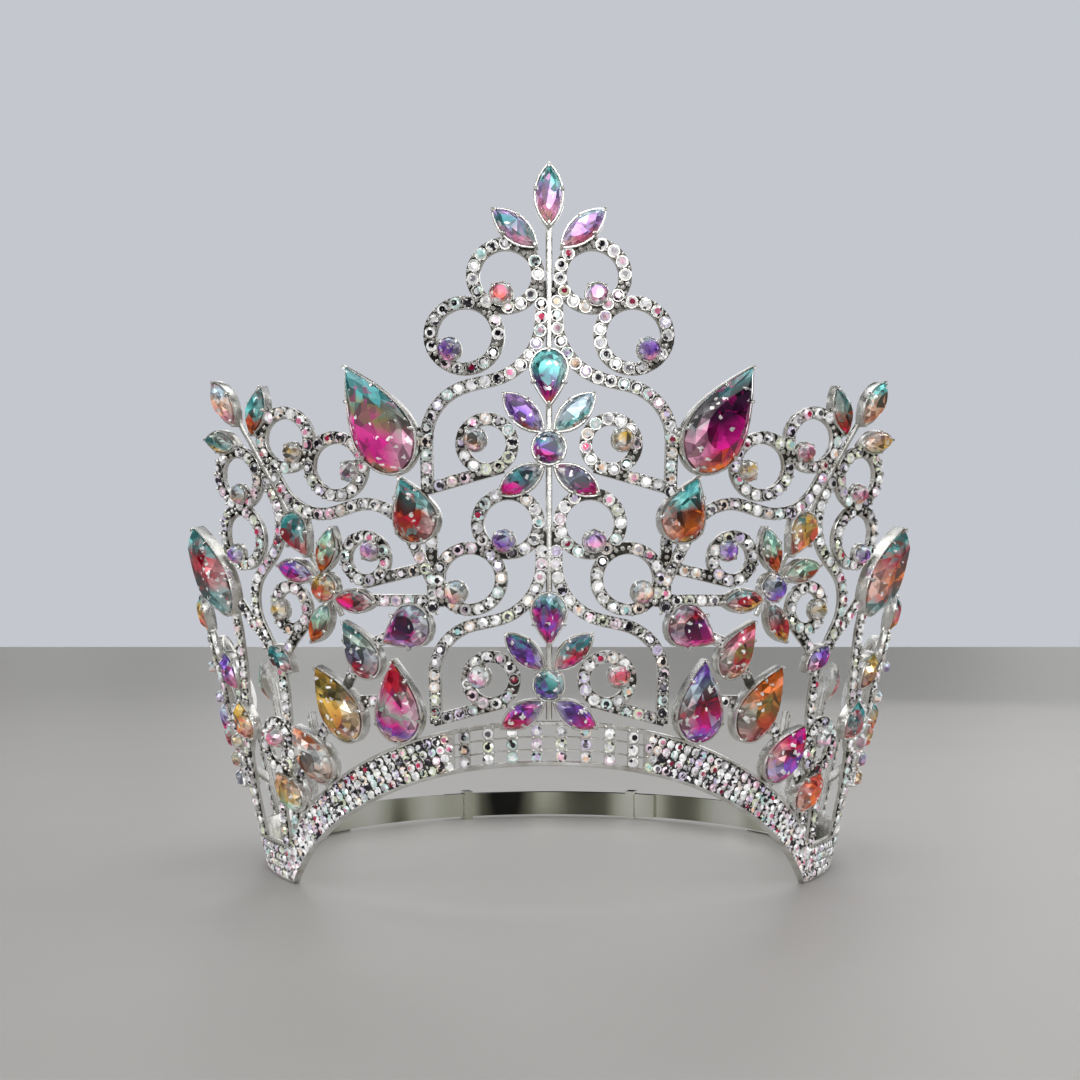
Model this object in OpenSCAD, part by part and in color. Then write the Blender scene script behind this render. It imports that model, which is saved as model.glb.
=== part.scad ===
// Pageant crown: a pierced, flared wall of scrolls on an arched base band, set with
// faceted stones and closed at the back by a plain adjustable strap.
// Millimetres, +Z up, the front faces -Y. The origin is on the floor, at the ring's centre.
// A place on the wall is an azimuth (0 at the front, positive to the right) and a height.

/* [Ring] */
// Inner radius of the wall at the floor
ring_radius = 80; // [70:1:90]
// How far the wall leans out at the front, for each millimetre of height
front_flare = 0.05; // [0.02:0.01:0.1]
// How much more it leans out at the sides, for each millimetre of height
side_flare = 0.21; // [0.14:0.01:0.24]

/* [Base band] */
// Height of the base band
band_height = 10.5; // [9:0.5:12]
// Thickness of the base band
band_depth = 1.8; // [1.4:0.1:2.4]
// How high the band's lower edge arches at the front
arch_rise = 34; // [28:0.5:40]
// Azimuth at which the arch meets the floor
arch_half_angle = 54; // [52:1:64]
// Azimuth at which the band ends, on each side
band_end_angle = 124; // [118:1:128]
// Azimuth at which the open ladder ends, on each side
ladder_half_angle = 15.5; // [12:0.5:18]
// Number of posts in the ladder
ladder_posts = 8; // [4:2:10]
// Height of the ladder's two rails
rail_height = 1.2; // [0.9:0.1:1.6]

/* [Openwork] */
// Width of a strand
strand_width = 2.9; // [2.4:0.1:3.2]
// Thickness of a strand
strand_depth = 1.8; // [1.4:0.1:1.9]
// Half the width of the centre column's upper tier
upper_half_width = 28.6; // [27:0.2:30]
// Half the width of the centre column's lower tier
lower_half_width = 27.2; // [26:0.2:29]
// Half the width of the column on each side
side_half_width = 25.7; // [24:0.2:27]
// Half the width of the column near each end of the band
rear_half_width = 21.5; // [20:0.2:23]
// Azimuth of the side column's round stone
side_azimuth = 36; // [34:0.5:38]
// Height of the side column's round stone
side_height = 76; // [74:0.5:78]
// How far the side column leans to the back, in degrees
side_lean = 26.5; // [24:0.5:29]
// Azimuth of the rear column's round stone
rear_azimuth = 84; // [82:0.5:86]
// How far the rear column leans to the back, in degrees
rear_lean = 6; // [2:0.5:10]

/* [Stones] */
// Length of the largest stones
large_length = 27; // [25:0.5:28]
// Width of the largest stones
large_width = 14; // [12.6:0.2:14.6]
// Length of a leaf-shaped stone of the upper tier
leaf_length = 12; // [11:0.2:12.6]
// Width of a leaf-shaped stone of the upper tier
leaf_width = 5; // [4.4:0.1:5.4]
// Diameter of a small round stone inside a loop
loop_stone = 4.9; // [4.4:0.1:5.3]
// Width of the cup's rim around a stone
cup_rim = 0.7; // [0.5:0.1:0.9]
// Thickness of a cup, from the wall's inner face
cup_depth = 2; // [2:0.1:2.6]
// Gap between a stone and its cup
stone_gap = 0.15; // [0.1:0.01:0.2]

/* [Back strap] */
// Height of the strap
strap_height = 8; // [6:0.5:9]
// Thickness of each of the strap's two strips
strap_depth = 1.2; // [0.8:0.1:1.3]
// Azimuth at which each strip starts inside the band
strap_start = 90; // [90:1:104]
// Azimuth of the keepers, measured from the back
keeper_angle = 22; // [16:1:28]
// Width of a keeper along the strap
keeper_width = 3; // [2:0.2:4]
// Wall of a keeper
keeper_wall = 0.8; // [0.6:0.1:1.2]
// Running gap between the strap and what it lies against
strap_gap = 0.2; // [0.15:0.05:0.3]

/* [Hidden] */

// Longest straight in one step of a strand
straight_step = 20;
// Most degrees of azimuth in one step of the band
plate_step = 8;
// Sink of one piece of metal into the next, so that they are one solid
sink = 0.3;
// Setback of one layer of strands from the next
layer_step = 0.22;

// Heights that follow from the band and the tiers
band_top_front = arch_rise + band_height;
lower_height = band_top_front + 0.31 * lower_half_width;
upper_height = lower_height + 1.99 * lower_half_width;
rear_height = band_height + 0.9 * rear_half_width;

// The wall

function flare(azimuth) = front_flare + side_flare * pow(sin(azimuth), 2);

function wall_radius(azimuth, height) = ring_radius + height * flare(azimuth);

function wall_point(azimuth, height, out) =
    let (r = wall_radius(azimuth, height) + out)
    [r * sin(azimuth), -r * cos(azimuth), height];

// Degrees of azimuth in one millimetre along the wall
function degrees_per_mm(azimuth, height) = 180 / PI / wall_radius(azimuth, height);

// Height of the band's lower edge
function arch(azimuth) =
    arch_rise * max(0, 1 - pow(abs(azimuth) / arch_half_angle, 2.2));

// How far the wall is turned from a circle's tangent, because the sides lean out more
function wall_turn(azimuth, height) =
    atan(height * side_flare * sin(2 * azimuth) / wall_radius(azimuth, height));

// Stands a flat piece on the wall: its X runs along the wall, its Y up it and its Z out of it
module on_wall(azimuth, height, turn = 0) {
    rotate([0, 0, azimuth])
        translate([0, -wall_radius(azimuth, height), height])
            rotate([0, 0, -wall_turn(azimuth, height)])
                rotate([90 + atan(flare(azimuth)), 0, 0])
                    rotate([0, 0, -turn])
                        children();
}

// Paths: a place is [x, y, heading], a move is [radius, turn] or [length, 0]

MOVE_SIZE = 0;
MOVE_TURN = 1;

function straight(place, length) =
    [place[0] + length * cos(place[2]), place[1] + length * sin(place[2]), place[2]];

function turned(place, radius, turn) =
    let (side = sign(turn), to = place[2] + turn)
    [
        place[0] + side * radius * (sin(to) - sin(place[2])),
        place[1] - side * radius * (cos(to) - cos(place[2])),
        to
    ];

// The place after a share of a move
function part_moved(place, move, share) =
    move[MOVE_TURN] == 0
        ? straight(place, move[MOVE_SIZE] * share)
        : turned(place, move[MOVE_SIZE], move[MOVE_TURN] * share);

// Steps in a move, on a wall where one share is so many millimetres
function steps_in(move, share, turn_step) =
    move[MOVE_TURN] == 0
        ? ceil(move[MOVE_SIZE] * share / straight_step)
        : ceil(abs(move[MOVE_TURN]) / turn_step);

// All places along a list of moves
function walk(place, moves, share, turn_step, i = 0) =
    i == len(moves)
        ? [place]
        : let (n = steps_in(moves[i], share, turn_step))
          concat(
              [for (k = [0 : n - 1]) part_moved(place, moves[i], k / n)],
              walk(part_moved(place, moves[i], 1), moves, share, turn_step, i + 1)
          );

// A closed solid through sections of four corners each, or a closed ring of them
module swept(sections, ring = false) {
    n = len(sections);
    last = 4 * (n - 1);
    points = [for (section = sections) each section];
    sides = [
        for (i = [0 : ring ? n - 1 : n - 2], k = [0 : 3])
            let (a = 4 * i, b = 4 * ((i + 1) % n), l = (k + 1) % 4)
            each [[a + k, b + l, a + l], [a + k, b + k, b + l]]
    ];
    ends = [[0, 1, 2], [0, 2, 3], [last, last + 2, last + 1], [last, last + 3, last + 2]];
    polyhedron(points, ring ? sides : concat(sides, ends));
}

// Tiers: the same group of scrolls, in shares of half its width

TIER_AZIMUTH = 0;
TIER_HEIGHT = 1;
TIER_HALF = 2;
TIER_LEAN = 3;
TIER_FOOT = 4;
TIER_TURN_STEP = 5;

// azimuth, height, half width, lean, share by which the frame's feet are longer, largest
// turn in one step of a strand
UPPER = [0, upper_height, upper_half_width, 0, 0, 45];
LOWER = [0, lower_height, lower_half_width, 0, 0, 45];
SIDE = [side_azimuth, side_height, side_half_width, side_lean, 0.12, 45];
REAR = [rear_azimuth, rear_height, rear_half_width, rear_lean, 0.45, 60];

// A place in a tier to [azimuth, height]
function tier_place(tier, x, y) =
    let (
        lean = tier[TIER_LEAN],
        along = tier[TIER_HALF] * (x * cos(lean) + y * sin(lean)),
        up = tier[TIER_HALF] * (y * cos(lean) - x * sin(lean))
    )
    [
        tier[TIER_AZIMUTH]
            + along * degrees_per_mm(tier[TIER_AZIMUTH], tier[TIER_HEIGHT]),
        tier[TIER_HEIGHT] + up
    ];

// The cross-section of a strand at a place of its path, on the wall
function section(tier, place, width, inner, outer) =
    let (
        half = width / 2 / tier[TIER_HALF],
        side_x = -sin(place[2]) * half,
        side_y = cos(place[2]) * half,
        left = tier_place(tier, place[0] + side_x, place[1] + side_y),
        right = tier_place(tier, place[0] - side_x, place[1] - side_y)
    )
    [
        wall_point(left[0], left[1], inner),
        wall_point(left[0], left[1], outer),
        wall_point(right[0], right[1], outer),
        wall_point(right[0], right[1], inner)
    ];

// Strands that cross lie in layers, set back from the loops and each other on both faces
module strand(tier, start, moves, layer = 1, width = strand_width) {
    path = walk(start, moves, tier[TIER_HALF], tier[TIER_TURN_STEP]);
    inner = layer * layer_step;
    outer = strand_depth - layer * layer_step;
    swept([for (place = path) section(tier, place, width, inner, outer)]);
}

// A round loop of strand: centre and radius in shares
module loop(tier, centre_x, centre_y, radius) {
    n = ceil(360 / tier[TIER_TURN_STEP]);
    swept([
        for (k = [0 : n - 1])
            let (
                turn = 360 * (k + 0.5) / n,
                place = [centre_x + radius * sin(turn), centre_y - radius * cos(turn), turn]
            )
            section(tier, place, strand_width, 0, strand_depth)
    ], true);
}

function flipped(start) = [-start[0], start[1], 180 - start[2]];

function flipped_moves(moves) = [for (move = moves) [move[MOVE_SIZE], -move[MOVE_TURN]]];

// A strand and its mirror image in the tier
module strand_pair(tier, start, moves, layer = 1) {
    strand(tier, start, moves, layer);
    strand(tier, flipped(start), flipped_moves(moves), layer);
}

// centre x, centre y, radius, all in shares of half the tier's width
TOP_LOOP = [0.335, 1.36, 0.25];
SECOND_LOOP = [0.655, 0.895, 0.262];
INNER_LOOP = [0.49, 0.035, 0.2];

module loop_pair(tier, row) {
    for (side = [-1, 1])
        loop(tier, side * row[0], row[1], row[2]);
}

// Height where the two legs of a tier meet
KNOT = 1.32;

module tier(t) {
    loop_pair(t, TOP_LOOP);
    loop_pair(t, SECOND_LOOP);
    // Leg, shoulder and frame post
    strand_pair(t, [0.06, KNOT, -90],
        [[0.3, 0], [0.49, 78], [0.18, 0], [0.44, -78], [0.42 + t[TIER_FOOT], 0]]);
    // Bottom rail of the frame, up to the stones in the middle
    strand_pair(t, [1, -0.32, 165], [[0.66, 0]], 2);
}

// Stem behind the flower, up to what stands on the tier
module stem(t, top) {
    strand(t, [0, -0.3, 90], [[top + 0.3, 0]], 2, strand_width * 0.6);
}

// Stones: outlines in shares of the width and the length, with the point of a pear up

ROUND = "round";
LEAF = "leaf";
PEAR = "pear";

// share of half the width, share of half the length, right side from top to bottom
LEAF_SIDE = [[0.6, 0.6], [1, 0], [0.6, -0.6]];
PEAR_SIDE = [[0.55, 0.42], [1, -0.25], [0.72, -0.78]];
// The same for the cups, which are simpler
LEAF_CUP_SIDE = [[1, 0.34], [1, -0.34]];
PEAR_CUP_SIDE = [[1, -0.1], [0.7, -0.86]];

function mirrored(side) = [for (i = [len(side) - 1 : -1 : 0]) [-side[i][0], side[i][1]]];

function outline(shape) =
    shape == ROUND ? [for (k = [0 : 7]) [sin(22.5 + 45 * k), cos(22.5 + 45 * k)]]
    : shape == LEAF ? concat([[0, 1]], LEAF_SIDE, [[0, -1]], mirrored(LEAF_SIDE))
    : concat([[0, 1]], PEAR_SIDE, [[0, -1]], mirrored(PEAR_SIDE));

function cup_outline(shape) =
    shape == ROUND ? outline(ROUND)
    : let (side = shape == LEAF ? LEAF_CUP_SIDE : PEAR_CUP_SIDE)
      concat([[0, 1]], side, [[0, -1]], mirrored(side));

function stone_thickness(width) = 1.1 + 0.3 * width;

// A cut stone: a flat back, eight sloping facets and a table, and a girdle if it is large
module cut_stone(shape, length, width, girdle) {
    // share of the outline, share of the thickness
    levels = concat(girdle ? [[0.84, 0], [1, 0.32]] : [[1, 0]], [[0.58, 1]]);
    thickness = stone_thickness(width);
    edge = outline(shape);
    n = len(edge);
    last = len(levels) - 1;
    points = [
        for (level = levels, p = edge)
            [p[0] * width / 2 * level[0], p[1] * length / 2 * level[0], level[1] * thickness]
    ];
    back = [for (k = [n - 1 : -1 : 0]) k];
    table = [for (k = [0 : n - 1]) last * n + k];
    sides = [
        for (i = [0 : last - 1], k = [0 : n - 1])
            [i * n + (k + 1) % n, (i + 1) * n + (k + 1) % n, (i + 1) * n + k, i * n + k]
    ];
    polyhedron(points, concat([back, table], sides));
}

module stone_at(place, turn, shape, length, width, girdle = false) {
    on_wall(place[0], place[1], turn)
        translate([0, 0, cup_depth + stone_gap])
            cut_stone(shape, length, width, girdle);
}

// A small round stone that lies on the strand itself
module loop_stone_at(place, diameter) {
    on_wall(place[0], place[1])
        translate([0, 0, strand_depth + stone_gap])
            cut_stone(ROUND, diameter, diameter, false);
}

// The metal cup that the stone lies on
module cup_at(place, turn, shape, length, width) {
    outer = [
        for (p = cup_outline(shape)) [p[0] * (width / 2 + cup_rim), p[1] * (length / 2 + cup_rim)]
    ];
    on_wall(place[0], place[1], turn)
        translate([0, 0, sink])
            hull()
                linear_extrude(cup_depth - sink)
                    polygon(outer);
}

STONE_X = 0;
STONE_Y = 1;
STONE_TURN = 2;
STONE_SHAPE = 3;
STONE_LENGTH = 4;
STONE_WIDTH = 5;
STONE_NAME = 6;

// The flower in the middle of a tier, and the trio of leaves on top of one: middle and right.
// x, y in lengths of the leaf, turn of the point, shape, length and width in shares of the
// leaf's, name
FLOWER_MIDDLE = [
    [0, 1.32, 180, PEAR, 1.02, 1.6, "pear"],
    [0, 0, 0, ROUND, 0.58, 1.4, "round"]
];
FLOWER_SIDE = [
    [0.477, 0.667, 47, LEAF, 1, 1.04, "leaf"],
    [0.524, -0.608, 122, LEAF, 0.96, 1.04, "foot"]
];
TRIO_MIDDLE = [0, 0.894, 0, LEAF, 1.1, 1.14, "leaf_middle"];
TRIO_SIDE = [0.624, 0.286, 50, LEAF, 1.04, 1.02, "leaf"];

// Where the trio stands and where the stem ends, in shares of the tier's half width
TRIO_FOOT = 1.6;
STEM_TOP = 1.95;

// Height that a row's y is counted from, in shares of the tier's half width
function foot_of(row) = row == TRIO_MIDDLE || row == TRIO_SIDE ? TRIO_FOOT : 0;

// x, y of the small round stones that lie on the loops' inner edges, in shares of the half width
LOOP_STONES = [[0.369, 1.21], [0.771, 0.785], [0.583, 0.071]];

// Size of a tier's stones, as a share of those in the upper tier
function stone_scale(tier) = tier[TIER_HALF] / upper_half_width;

// The place of a row's stone, on one side of the tier, 1 or -1
function row_place(tier, row, side) =
    let (leaf = leaf_length * stone_scale(tier) / tier[TIER_HALF])
    tier_place(tier, side * row[STONE_X] * leaf, foot_of(row) + row[STONE_Y] * leaf);

// Draws a stone, or its cup, of a tier's table on one side of the tier, 1 or -1
module tier_stone(tier, row, side, cup, girdle = false) {
    place = row_place(tier, row, side);
    turn = tier[TIER_LEAN] + side * row[STONE_TURN];
    length = leaf_length * row[STONE_LENGTH] * stone_scale(tier);
    width = leaf_width * row[STONE_WIDTH] * stone_scale(tier);
    if (cup)
        cup_at(place, turn, row[STONE_SHAPE], length, width);
    else
        stone_at(place, turn, row[STONE_SHAPE], length, width, girdle);
}

module flower_cups(tier) {
    for (row = FLOWER_MIDDLE)
        tier_stone(tier, row, 1, true);
    for (row = FLOWER_SIDE, side = [-1, 1])
        tier_stone(tier, row, side, true);
}

module trio_cups(tier) {
    tier_stone(tier, TRIO_MIDDLE, 1, true);
    for (side = [-1, 1])
        tier_stone(tier, TRIO_SIDE, side, true);
}

// The large stones of one side. azimuth, height, turn of the point, shape, length and width
// as shares of the largest stones', name
POST_LARGE = [26, 1.069 * upper_height, 29, PEAR, 1, 1, "post_large_pear"];
POST_UPPER = [20.9, 0.873 * upper_height, 20, PEAR, 0.56, 0.73, "post_upper_pear"];
POST_MIDDLE = [22.6, 0.615 * upper_height, 118, PEAR, 0.46, 0.69, "post_middle_pear"];
POST_LOWER = [24.4, 0.457 * upper_height, 4, PEAR, 0.7, 0.8, "post_lower_pear"];
LOW_1 = [side_azimuth - 5.4, 0.806 * side_height, 30, PEAR, 0.54, 0.56, "low_pear_1"];
LOW_2 = [side_azimuth - 0.6, 0.636 * side_height, 31, PEAR, 0.73, 0.75, "low_pear_2"];
LOW_3 = [side_azimuth + 5.6, 0.472 * side_height, 40, PEAR, 0.6, 0.64, "low_pear_3"];
LOW_4 = [side_azimuth + 12.8, 0.338 * side_height, 44, PEAR, 0.42, 0.48, "low_pear_4"];
SIDE_LARGE = [side_azimuth + 24.5, 1.078 * side_height, 29, PEAR, 0.94, 0.88, "side_large_pear"];

WALL_STONES = [
    POST_LARGE, POST_UPPER, POST_MIDDLE, POST_LOWER, LOW_1, LOW_2, LOW_3, LOW_4, SIDE_LARGE
];

// The smaller stones of one side that stand by themselves, in the same columns
END_LEAF = [rear_azimuth + 23.5, 1.68 * rear_height, -14, LEAF, 0.46, 0.4, "leaf"];
END_PEAR = [rear_azimuth + 34, 1.04 * rear_height, 10, PEAR, 0.41, 0.48, "pear"];

WALL_LEAVES = [
    [side_azimuth + 10.4, 0.775 * side_height, 48, LEAF, 0.33, 0.31, "leaf"],
    [side_azimuth + 24.2, 0.564 * side_height, 20, PEAR, 0.37, 0.46, "pear"],
    [side_azimuth + 26.6, 0.733 * side_height, 24, LEAF, 0.37, 0.34, "leaf"],
    END_LEAF,
    END_PEAR
];

// The loops of one side that stand by themselves. azimuth, height, radius, and how far along
// and up from the centre the small round stone lies on the inner edge
WALL_LOOPS = [
    [side_azimuth + 15.6, 0.48 * side_height, 6, -1.5, 2.7],
    [side_azimuth + 30.4, 0.521 * side_height, 5.6, 0, -2.7],
    [rear_azimuth + 26, band_height + 5.8, 6.4, 0, 3.2]
];
LOOP_RADIUS = 2;
LOOP_STONE_X = 3;
LOOP_STONE_Y = 4;

// A place that lies some millimetres along the wall and up it from another one
function moved(place, along, up) =
    [place[0] + along * degrees_per_mm(place[0], place[1]), place[1] + up];

module wall_stone(row, side, cup, girdle = false) {
    place = [side * row[0], row[1]];
    turn = side * row[STONE_TURN];
    length = large_length * row[STONE_LENGTH];
    width = large_width * row[STONE_WIDTH];
    if (cup)
        cup_at(place, turn, row[STONE_SHAPE], length, width);
    else
        stone_at(place, turn, row[STONE_SHAPE], length, width, girdle);
}

// Base band

// A plate on the wall between two azimuths, between two heights above the arch
module plate(from, to, low, high, layer = 0) {
    n = ceil(abs(to - from) / plate_step);
    azimuths = [for (k = [0 : n]) from + (to - from) * k / n];
    inner = layer * layer_step;
    outer = band_depth - layer * layer_step;
    swept([
        for (a = azimuths)
            [
                wall_point(a, arch(a) + low, inner),
                wall_point(a, arch(a) + high, inner),
                wall_point(a, arch(a) + high, outer),
                wall_point(a, arch(a) + low, outer)
            ]
    ]);
}

module ladder() {
    end = ladder_half_angle + 0.5;
    pitch = 2 * ladder_half_angle / ladder_posts;
    post = strand_width * 0.8 * degrees_per_mm(0, band_top_front);
    plate(-end, end, 0, rail_height);
    plate(-end, end, band_height - rail_height, band_height);
    for (k = [0 : ladder_posts - 1]) {
        middle = (k + 0.5) * pitch - ladder_half_angle;
        plate(middle - post / 2, middle + post / 2, sink, band_height - sink, 1);
    }
}

module band_side() {
    plate(ladder_half_angle, arch_half_angle, 0, band_height);
    plate(arch_half_angle, band_end_angle, 0, band_height);
}

// Strands of one side that stand by themselves

// A tier of half width 1, so that its shares are millimetres
function spot(azimuth, height) = [azimuth, height, 1, 0, 0, 60];

// A strand from one place on the wall to another: straight, or two arcs in the form of an S
module link(from, to, bow = 0, layer = 2) {
    along = (to[0] - from[0]) / degrees_per_mm(from[0], from[1]);
    up = to[1] - from[1];
    length = norm([along, up]);
    arc = length / 4 / sin(max(abs(bow), 1) / 2);
    moves = bow == 0 ? [[length, 0]] : [[arc, bow], [arc, -bow]];
    strand(spot(from[0], from[1]), [0, 0, atan2(up, along) - bow / 2], moves, layer);
}

// A place on the band
function on_band(azimuth) = [azimuth, arch(azimuth) + band_height / 2];

module side_strands() {
    post = 18.3;
    side_foot = tier_place(SIDE, 0.972, -0.33);
    // Beside the stones of the post
    link(tier_place(UPPER, 0.95, 0.1), POST_LARGE);
    link([post, 0.88 * upper_height], [post, 0.66 * upper_height]);
    link([post - 1.7, 0.675 * upper_height], row_place(SIDE, FLOWER_SIDE[1], -1));
    // Behind the low stones, down to the band
    link(POST_MIDDLE, LOW_1);
    link(LOW_1, LOW_2);
    link(POST_LOWER, LOW_2);
    link(LOW_2, LOW_4);
    link(LOW_4, on_band(LOW_4[0] + 3));
    // From the side column's outer foot to the second large pear, and down to the band
    link(side_foot, SIDE_LARGE);
    link(side_foot, on_band(arch_half_angle), 42, 1);
    // From below the second large pear down to the band, and to the rear column
    pear_foot = moved(SIDE_LARGE, -4, -7);
    link(pear_foot, on_band(side_azimuth + 31.5), 36, 1);
    link(tier_place(REAR, -0.972, -0.2), moved(pear_foot, 1.5, -13), 0, 1);
    for (row = WALL_LOOPS)
        loop(spot(row[0], row[1]), 0, 0, row[LOOP_RADIUS]);
    // End of the crown
    link(on_band(rear_azimuth + 36), moved(END_PEAR, 0, 9), 20, 1);
    link(moved(WALL_LOOPS[2], -4.6, 4.6), END_LEAF, 0, 1);
}

module side_of_frame() {
    band_side();
    tier(SIDE);
    loop_pair(SIDE, INNER_LOOP);
    stem(SIDE, STEM_TOP);
    flower_cups(SIDE);
    trio_cups(SIDE);
    tier(REAR);
    stem(REAR, STEM_TOP);
    flower_cups(REAR);
    tier_stone(REAR, TRIO_MIDDLE, 1, true);
    side_strands();
    for (row = concat(WALL_STONES, WALL_LEAVES))
        wall_stone(row, 1, true);
}

// The soldered metal, all one solid
module crown_frame() {
    color("silver")
        union() {
            ladder();
            tier(LOWER);
            loop_pair(LOWER, INNER_LOOP);
            stem(LOWER, 1.8);
            flower_cups(LOWER);
            tier(UPPER);
            loop_pair(UPPER, INNER_LOOP);
            stem(UPPER, STEM_TOP);
            flower_cups(UPPER);
            trio_cups(UPPER);
            side_of_frame();
            mirror([1, 0, 0])
                side_of_frame();
        }
}

// Stone nodes

SIDES = [["_left", -1], ["_right", 1]];

// name, tier, row of the tier's table, side
CENTRE_STONES = concat(
    [["top_leaf_middle", UPPER, TRIO_MIDDLE, 1]],
    [for (s = SIDES) [str("top_leaf", s[0]), UPPER, TRIO_SIDE, s[1]]],
    [for (row = FLOWER_MIDDLE) [str("upper_", row[STONE_NAME]), UPPER, row, 1]],
    [
        for (row = FLOWER_SIDE, s = SIDES)
            [str("upper_", row[STONE_NAME], s[0]), UPPER, row, s[1]]
    ],
    [for (row = FLOWER_MIDDLE) [str("lower_", row[STONE_NAME]), LOWER, row, 1]],
    [
        for (row = FLOWER_SIDE, s = SIDES)
            [str("lower_", row[STONE_NAME], s[0]), LOWER, row, s[1]]
    ]
);

// name, row of the side's table, side
SIDE_STONES = [
    for (row = WALL_STONES, s = SIDES)
        [str(row[STONE_NAME], s[0]), row, s[1]]
];

// name, row of the tier's table, side of the tier, side of the crown
TRIO_STONES = [
    for (s = SIDES)
        each [
            [str("side_top_leaf_middle", s[0]), TRIO_MIDDLE, 1, s[1]],
            [str("side_top_leaf_front", s[0]), TRIO_SIDE, -1, s[1]],
            [str("side_top_leaf_back", s[0]), TRIO_SIDE, 1, s[1]]
        ]
];

module stone_colour() {
    color("orchid")
        children();
}

module both_sides() {
    children();
    mirror([1, 0, 0])
        children();
}

// The small round stones inside the loops
module loop_stones() {
    stone_colour() {
        for (t = [UPPER, LOWER], p = LOOP_STONES, side = [-1, 1])
            loop_stone_at(tier_place(t, side * p[0], p[1]), loop_stone);
        both_sides() {
            for (t = [SIDE, REAR], i = [0 : t == REAR ? 1 : 2], side = [-1, 1])
                loop_stone_at(tier_place(t, side * LOOP_STONES[i][0], LOOP_STONES[i][1]),
                    loop_stone * stone_scale(t));
            for (row = WALL_LOOPS)
                loop_stone_at(moved(row, row[LOOP_STONE_X], row[LOOP_STONE_Y]), loop_stone);
        }
    }
}

// The flowers of the side and rear columns, and the smaller stones near them
module side_leaf_stones() {
    stone_colour()
        both_sides() {
            for (t = [SIDE, REAR]) {
                for (row = FLOWER_MIDDLE)
                    tier_stone(t, row, 1, false);
                for (row = FLOWER_SIDE, side = [-1, 1])
                    tier_stone(t, row, side, false);
            }
            tier_stone(REAR, TRIO_MIDDLE, 1, false);
            for (row = WALL_LEAVES)
                wall_stone(row, 1, false);
        }
}

// Back strap

keeper_height = strap_height + 2 * (keeper_wall + strap_gap);
strap_low = keeper_wall + strap_gap;
strap_outer = ring_radius - 1.5 * strap_gap;
// How far forward the inner strip's centre lies, so that it passes inside the other one
strap_shift = (strap_depth + strap_gap) / cos(keeper_angle + 6);
overlap_end = 180 + keeper_angle + 6;

// A strip from one azimuth to another, on the crown's right where they are under 180
module strip(from, to, forward) {
    translate([0, -forward, strap_low])
        rotate([0, 0, from - 90])
            rotate_extrude(angle = to - from, $fn = 120)
                translate([strap_outer - strap_depth, 0])
                    square([strap_depth, strap_height]);
}

module back_strap_right() {
    color("gainsboro")
        strip(strap_start, overlap_end, 0);
}

module back_strap_left() {
    color("gainsboro")
        strip(360 - overlap_end, 360 - strap_start, strap_shift);
}

// A sleeve around both strips, with its own hollow
module keeper(azimuth) {
    shift = strap_shift * cos(keeper_angle);
    hollow = strap_depth + shift + 2 * strap_gap;
    middle = strap_outer - (strap_depth + shift) / 2;
    rotate([0, 0, azimuth])
        translate([0, -middle, keeper_height / 2])
            difference() {
                cube([keeper_width, hollow + 2 * keeper_wall, keeper_height], center = true);
                cube([keeper_width + 2, hollow, strap_height + 2 * strap_gap], center = true);
            }
}

module strap_keeper_right() {
    color("gainsboro")
        keeper(180 - keeper_angle);
}

module strap_keeper_left() {
    color("gainsboro")
        keeper(180 + keeper_angle);
}

crown_frame();
back_strap_right();
back_strap_left();
strap_keeper_right();
strap_keeper_left();
loop_stones();
side_leaf_stones();
for (row = CENTRE_STONES)
    stone_colour() tier_stone(row[1], row[2], row[3], false, true);
for (row = SIDE_STONES)
    stone_colour() wall_stone(row[1], row[2], false, true);
for (row = TRIO_STONES)
    stone_colour()
            mirror([row[3] < 0 ? 1 : 0, 0, 0])
                tier_stone(SIDE, row[1], row[2], false, true);
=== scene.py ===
# %% [markdown]
# # A pageant crown
#
# The real crown is cast and soldered metal: a flared wall of scrolls on an arched base band.
# Every strand carries a row of very small stones, and large cut stones stand in metal cups.
# The CAD model gives the true sizes and places. This lesson dresses it: it makes the strands,
# the rows of stones, the cups and the cut stones again with all their detail.

import math
import random
from collections import namedtuple

import bmesh
import bpy
from mathutils import Matrix, Vector


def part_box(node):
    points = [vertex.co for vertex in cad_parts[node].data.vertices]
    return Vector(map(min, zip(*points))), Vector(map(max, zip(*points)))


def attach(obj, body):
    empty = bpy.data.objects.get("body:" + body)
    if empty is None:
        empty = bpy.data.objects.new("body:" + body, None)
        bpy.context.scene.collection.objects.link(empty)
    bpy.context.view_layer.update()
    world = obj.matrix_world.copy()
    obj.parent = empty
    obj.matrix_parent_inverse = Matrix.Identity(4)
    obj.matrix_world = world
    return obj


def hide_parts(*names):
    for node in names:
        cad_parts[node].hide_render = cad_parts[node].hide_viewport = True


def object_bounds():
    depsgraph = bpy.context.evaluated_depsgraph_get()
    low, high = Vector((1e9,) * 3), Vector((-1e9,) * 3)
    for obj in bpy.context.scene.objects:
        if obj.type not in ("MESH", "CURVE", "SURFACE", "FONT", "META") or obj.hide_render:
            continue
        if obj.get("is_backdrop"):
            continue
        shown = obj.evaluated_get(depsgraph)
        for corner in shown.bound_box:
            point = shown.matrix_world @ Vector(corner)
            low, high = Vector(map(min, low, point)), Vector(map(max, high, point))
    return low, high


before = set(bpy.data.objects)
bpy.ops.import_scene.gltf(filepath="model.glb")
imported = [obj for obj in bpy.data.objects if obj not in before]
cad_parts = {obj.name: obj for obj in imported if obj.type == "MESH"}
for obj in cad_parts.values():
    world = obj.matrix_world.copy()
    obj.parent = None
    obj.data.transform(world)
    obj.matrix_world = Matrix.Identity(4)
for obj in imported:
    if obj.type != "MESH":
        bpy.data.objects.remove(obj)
CAD_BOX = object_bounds()
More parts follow.
